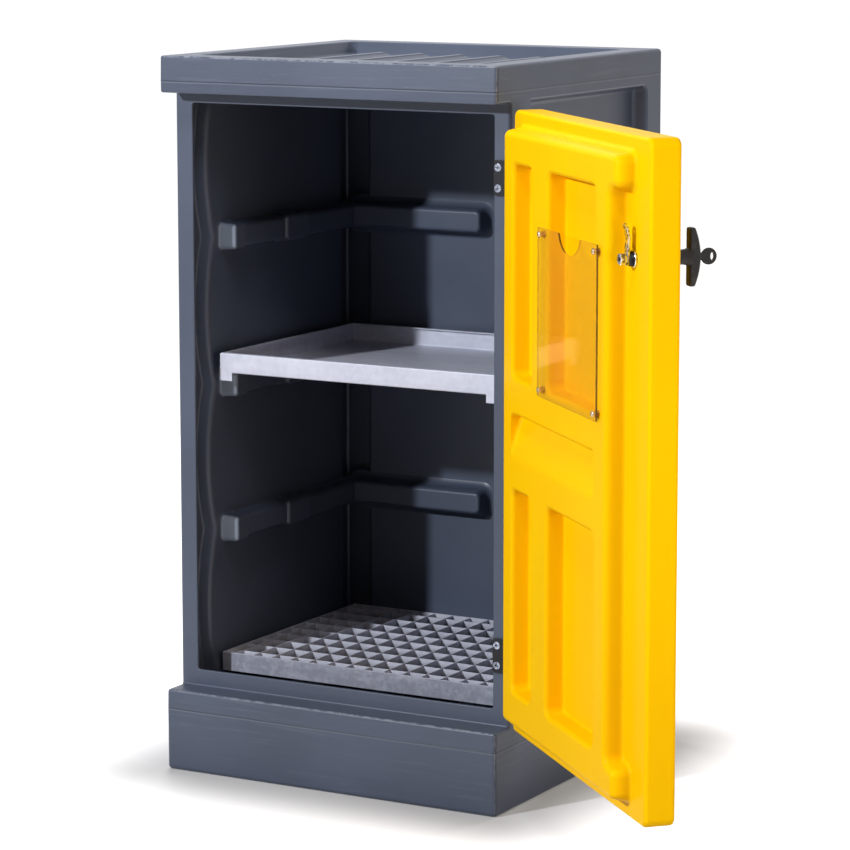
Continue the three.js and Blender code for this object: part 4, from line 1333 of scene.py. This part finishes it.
def camLever():
    t, half, hub = lever.sheet, lever.width / 2, lever.hub
    knee, tip = leverFace - lever.kneeBack, leverFace + lever.tipOut
    sharp, soft = lever.endRound, lever.bendRound
    low, high, kneeZ, top = latchZ - hub, latchZ + hub, latchZ + lever.kneeRise, latchZ + lever.rise
    side, radii = zip(*[
        ((leverFace, low), sharp),
        ((leverFace + t, low), sharp),
        ((leverFace + t, high), soft),
        ((knee + t, kneeZ), soft),
        ((tip + t, top), sharp),
        ((tip, top), sharp),
        ((knee, kneeZ), soft),
        ((leverFace, high), soft),
    ])
    ends = solidProfile(latchX - half, latchX + half, lever.edge, steps=2)
    strip = mould(side, radii, ends, fromLeft, 4)
    outline = rectangle((latchX - half, low), (latchX + half, top))
    rounds = [lever.hubRound] * 2 + [lever.tipRound] * 2
    start, end = leverFace - lever.planFrom, leverFace + lever.planTo
    plan = mould(outline, rounds, [(0, start), (0, end)], standing, 8)
    square = latchBox(lever.square, lever.square, leverFace - overlap, leverFace + t + overlap)
    eyeZ = top - lever.eyeInset
    eye = turned([(lever.eye, start), (lever.eye, end)], lambda a, b, s: (latchX + a, s, eyeZ + b), 24)
    form = carved("cam_lever", strip, (keep, plan), (cut, square), (cut, eye))
    finished("cam_lever_strip", form, chromeFinish, "handle", "cam_lever")


plug = Settings(face=[(5.2, 0), (6, 0.6)], inner=[(6, -0.3), (5.7, 0)], slot=(1.4, 4.3), floor=0.3)


def lockPlug():
    low, high = span("lock_plug")
    form = turned(shifted(plug.face, 0, low.y) + shifted(plug.inner, 0, high.y), onLatch, 36)
    slot = latchBox(*plug.slot, low.y - overlap, high.y - plug.floor)
    form = carved("lock_plug", form, (cut, slot))
    finished("lock_plug_face", form, chromeFinish, "lock", "lock_plug")


keySet = Settings(
    head=11.2, thick=3.4,
    rim=[(1.6, 0), (0.5, 0.35), (0, 1.1)],  # in from the head's edge and its face
    holeWide=5, holeHigh=10.5, holeFrom=4.4, holePast=6, neckFrom=8,
    neckTo=11.9, neck=(2.4, 5), neckEdge=0.8, blade=(1.1, 4), edge=0.3,
    ribs=3,  # each side of the middle one
    ribPitch=2.4, ribHalf=0.55, ribRise=0.35, ribFrom=-1.5, ribTo=7.2,
)


def keyPiece():
    low, high = span("key")
    centre = low.y + keySet.head
    r, half, edge = keySet.head, keySet.thick / 2, keySet.edge

    def across(a, b, s):
        return (latchX + s, centre + a, latchZ + b)

    def throughHead(a, b, s):
        return across(a * keySet.holeWide / 2 - keySet.holeFrom, b * keySet.holeHigh / 2, s)

    rim = [(r - inset, -half + rise) for inset, rise in keySet.rim]
    head = turned(rim + [(radius, -side) for radius, side in reversed(rim)], across, 48)
    hole = turned([(1, -keySet.holePast), (1, keySet.holePast)], throughHead, 32)
    start = centre + keySet.neckFrom
    neck = latchBox(*keySet.neck, start, high.y - keySet.neckTo, keySet.neckEdge)
    blade = latchBox(*keySet.blade, start, high.y, edge)
    out = half + keySet.ribRise
    headRibs = []
    for k in range(-keySet.ribs, keySet.ribs + 1):
        z = latchZ + k * keySet.ribPitch
        rib = box(
            (latchX - out, centre + keySet.ribFrom, z - keySet.ribHalf),
            (latchX + out, centre + keySet.ribTo, z + keySet.ribHalf),
            edge,
        )
        headRibs.append((join, rib))
    form = carved("key", head, (join, neck), (join, blade), *headRibs, (cut, hole))
    finished("key_moulded", form, blackFinish, "key", "key")


lockBarrel()
lockNut()
tHandle()
camLever()
camNut()
lockPlug()
keyPiece()
print("latch made")


# Camera, floor and lights

view = Settings(
    place=(2.6206, -4.6289, 1.3959), tilt=81.4346, roll=-0.0226, turn=29.3554,
    lens=145.7586, sensor=36, shift=-0.05, farthest=60,
)


def photoCamera():
    data = bpy.data.cameras.new("photo_camera")
    data.lens = view.lens
    data.sensor_width = view.sensor
    data.shift_y = view.shift
    data.clip_end = view.farthest
    camera = bpy.data.objects.new("photo_camera", data)
    camera.location = view.place
    turn, tilt, roll = [
        Matrix.Rotation(math.radians(angle), 4, axis)
        for angle, axis in ((view.turn, "Z"), (view.tilt, "X"), (view.roll, "Z"))
    ]
    camera.rotation_euler = (turn @ tilt @ roll).to_euler()
    bpy.context.scene.collection.objects.link(camera)
    bpy.context.scene.camera = camera


studio = Settings(
    ambient=(0.056, 0.033, 0.018), white=(1.02, 1.02, 1.02, 1), middle=(0.1, -0.1, 0.55),
    lamps={
        "key": {"place": (-1.24, -3.46, 2.21), "size": 0.14, "power": 132, "colour": (0.90, 0.94, 1.0)},
        "high": {"place": (0.50, -1.5, 2.6), "size": 0.5, "power": 13, "colour": (0.92, 0.95, 1.0)},
        "above": {"place": (-0.5, 0.3, 2.7), "size": 0.6, "power": 30, "colour": (0.97, 0.95, 0.96)},
        "right": {"place": (1.9, -1.2, 0.85), "size": 0.5, "power": 14, "colour": (1.0, 0.94, 0.88)},
        "behindLeft": {"place": (-2.2, 2.8, 2.0), "size": 1.4, "power": 56, "colour": (1.0, 0.98, 0.96)},
        "behindRight": {"place": (1.0, 3.2, 1.8), "size": 1.2, "power": 52, "colour": (1.0, 0.96, 0.92)},
    },
    floor=(0.50, 0.50, 0.50), floorSize=9, nearLift=0.08, liftTo=0.24,
)


def areaLamp(name, place, size, power, colour):
    data = bpy.data.lights.new(name, "AREA")
    data.shape = "DISK"
    data.size = size
    data.energy = power
    data.color = colour
    lamp = bpy.data.objects.new(name, data)
    lamp.location = place
    lamp.rotation_euler = (Vector(studio.middle) - Vector(place)).to_track_quat("-Z", "Y").to_euler()
    lamp.visible_glossy = name == "key"  # only the key leaves highlights
    bpy.context.scene.collection.objects.link(lamp)


def seenDirectly(finish):
    # camera, mirrored and transmitted rays
    outputs = finish.node("ShaderNodeLightPath").socket.node.outputs
    seen = [Socket(finish, outputs[name + " Ray"]) for name in ("Is Camera", "Is Glossy", "Is Transmission")]
    return (seen[0] + seen[1] + seen[2]).math("MINIMUM", 1.0)


class Surroundings(Finish):
    # the world's nodes, built the same way
    def __init__(self, world):
        world.use_nodes = True
        self.tree = world.node_tree


def whiteRoom():
    world = bpy.data.worlds.new("white_room")
    bpy.context.scene.world = world
    room = Surroundings(world)
    colour = room.mix(seenDirectly(room), shade(studio.ambient), studio.white)
    room.join(colour, room.tree.nodes["Background"].inputs["Color"])


def whiteFloor():
    # white away from the cabinet, and darker towards its foot: a painted shade round it, grey enough to hold
    # its real shadow
    finish = Finish("white_floor", base_color=shade(studio.floor), roughness=0.9, specular_ior_level=0.0)
    sides = zip(finish.parts()[:2], cabinetHigh)
    past = [(part.math("ABSOLUTE") - edge).math("MAXIMUM", 0.0) for part, edge in sides]
    away = (past[0] * past[0] + past[1] * past[1]) ** 0.5
    # the ramp paints shade on the floor round the cabinet's foot
    lift = studio.nearLift + away.ramp(0.0, studio.liftTo) * (1 - studio.nearLift)
    glow = finish.mix(lift * seenDirectly(finish), (0, 0, 0, 1), studio.white)
    finish.set(emission_color=glow, emission_strength=1.0)
    form = bmesh.new()
    bmesh.ops.create_grid(form, x_segments=1, y_segments=1, size=studio.floorSize)
    floor = held("floor", form)
    floor.data.materials.append(finish.material)


photoCamera()
whiteRoom()
whiteFloor()
for name, lamp in studio.lamps.items():
    areaLamp(name, **lamp)
bpy.context.scene.view_settings.view_transform = "Standard"
print("camera and lights set")
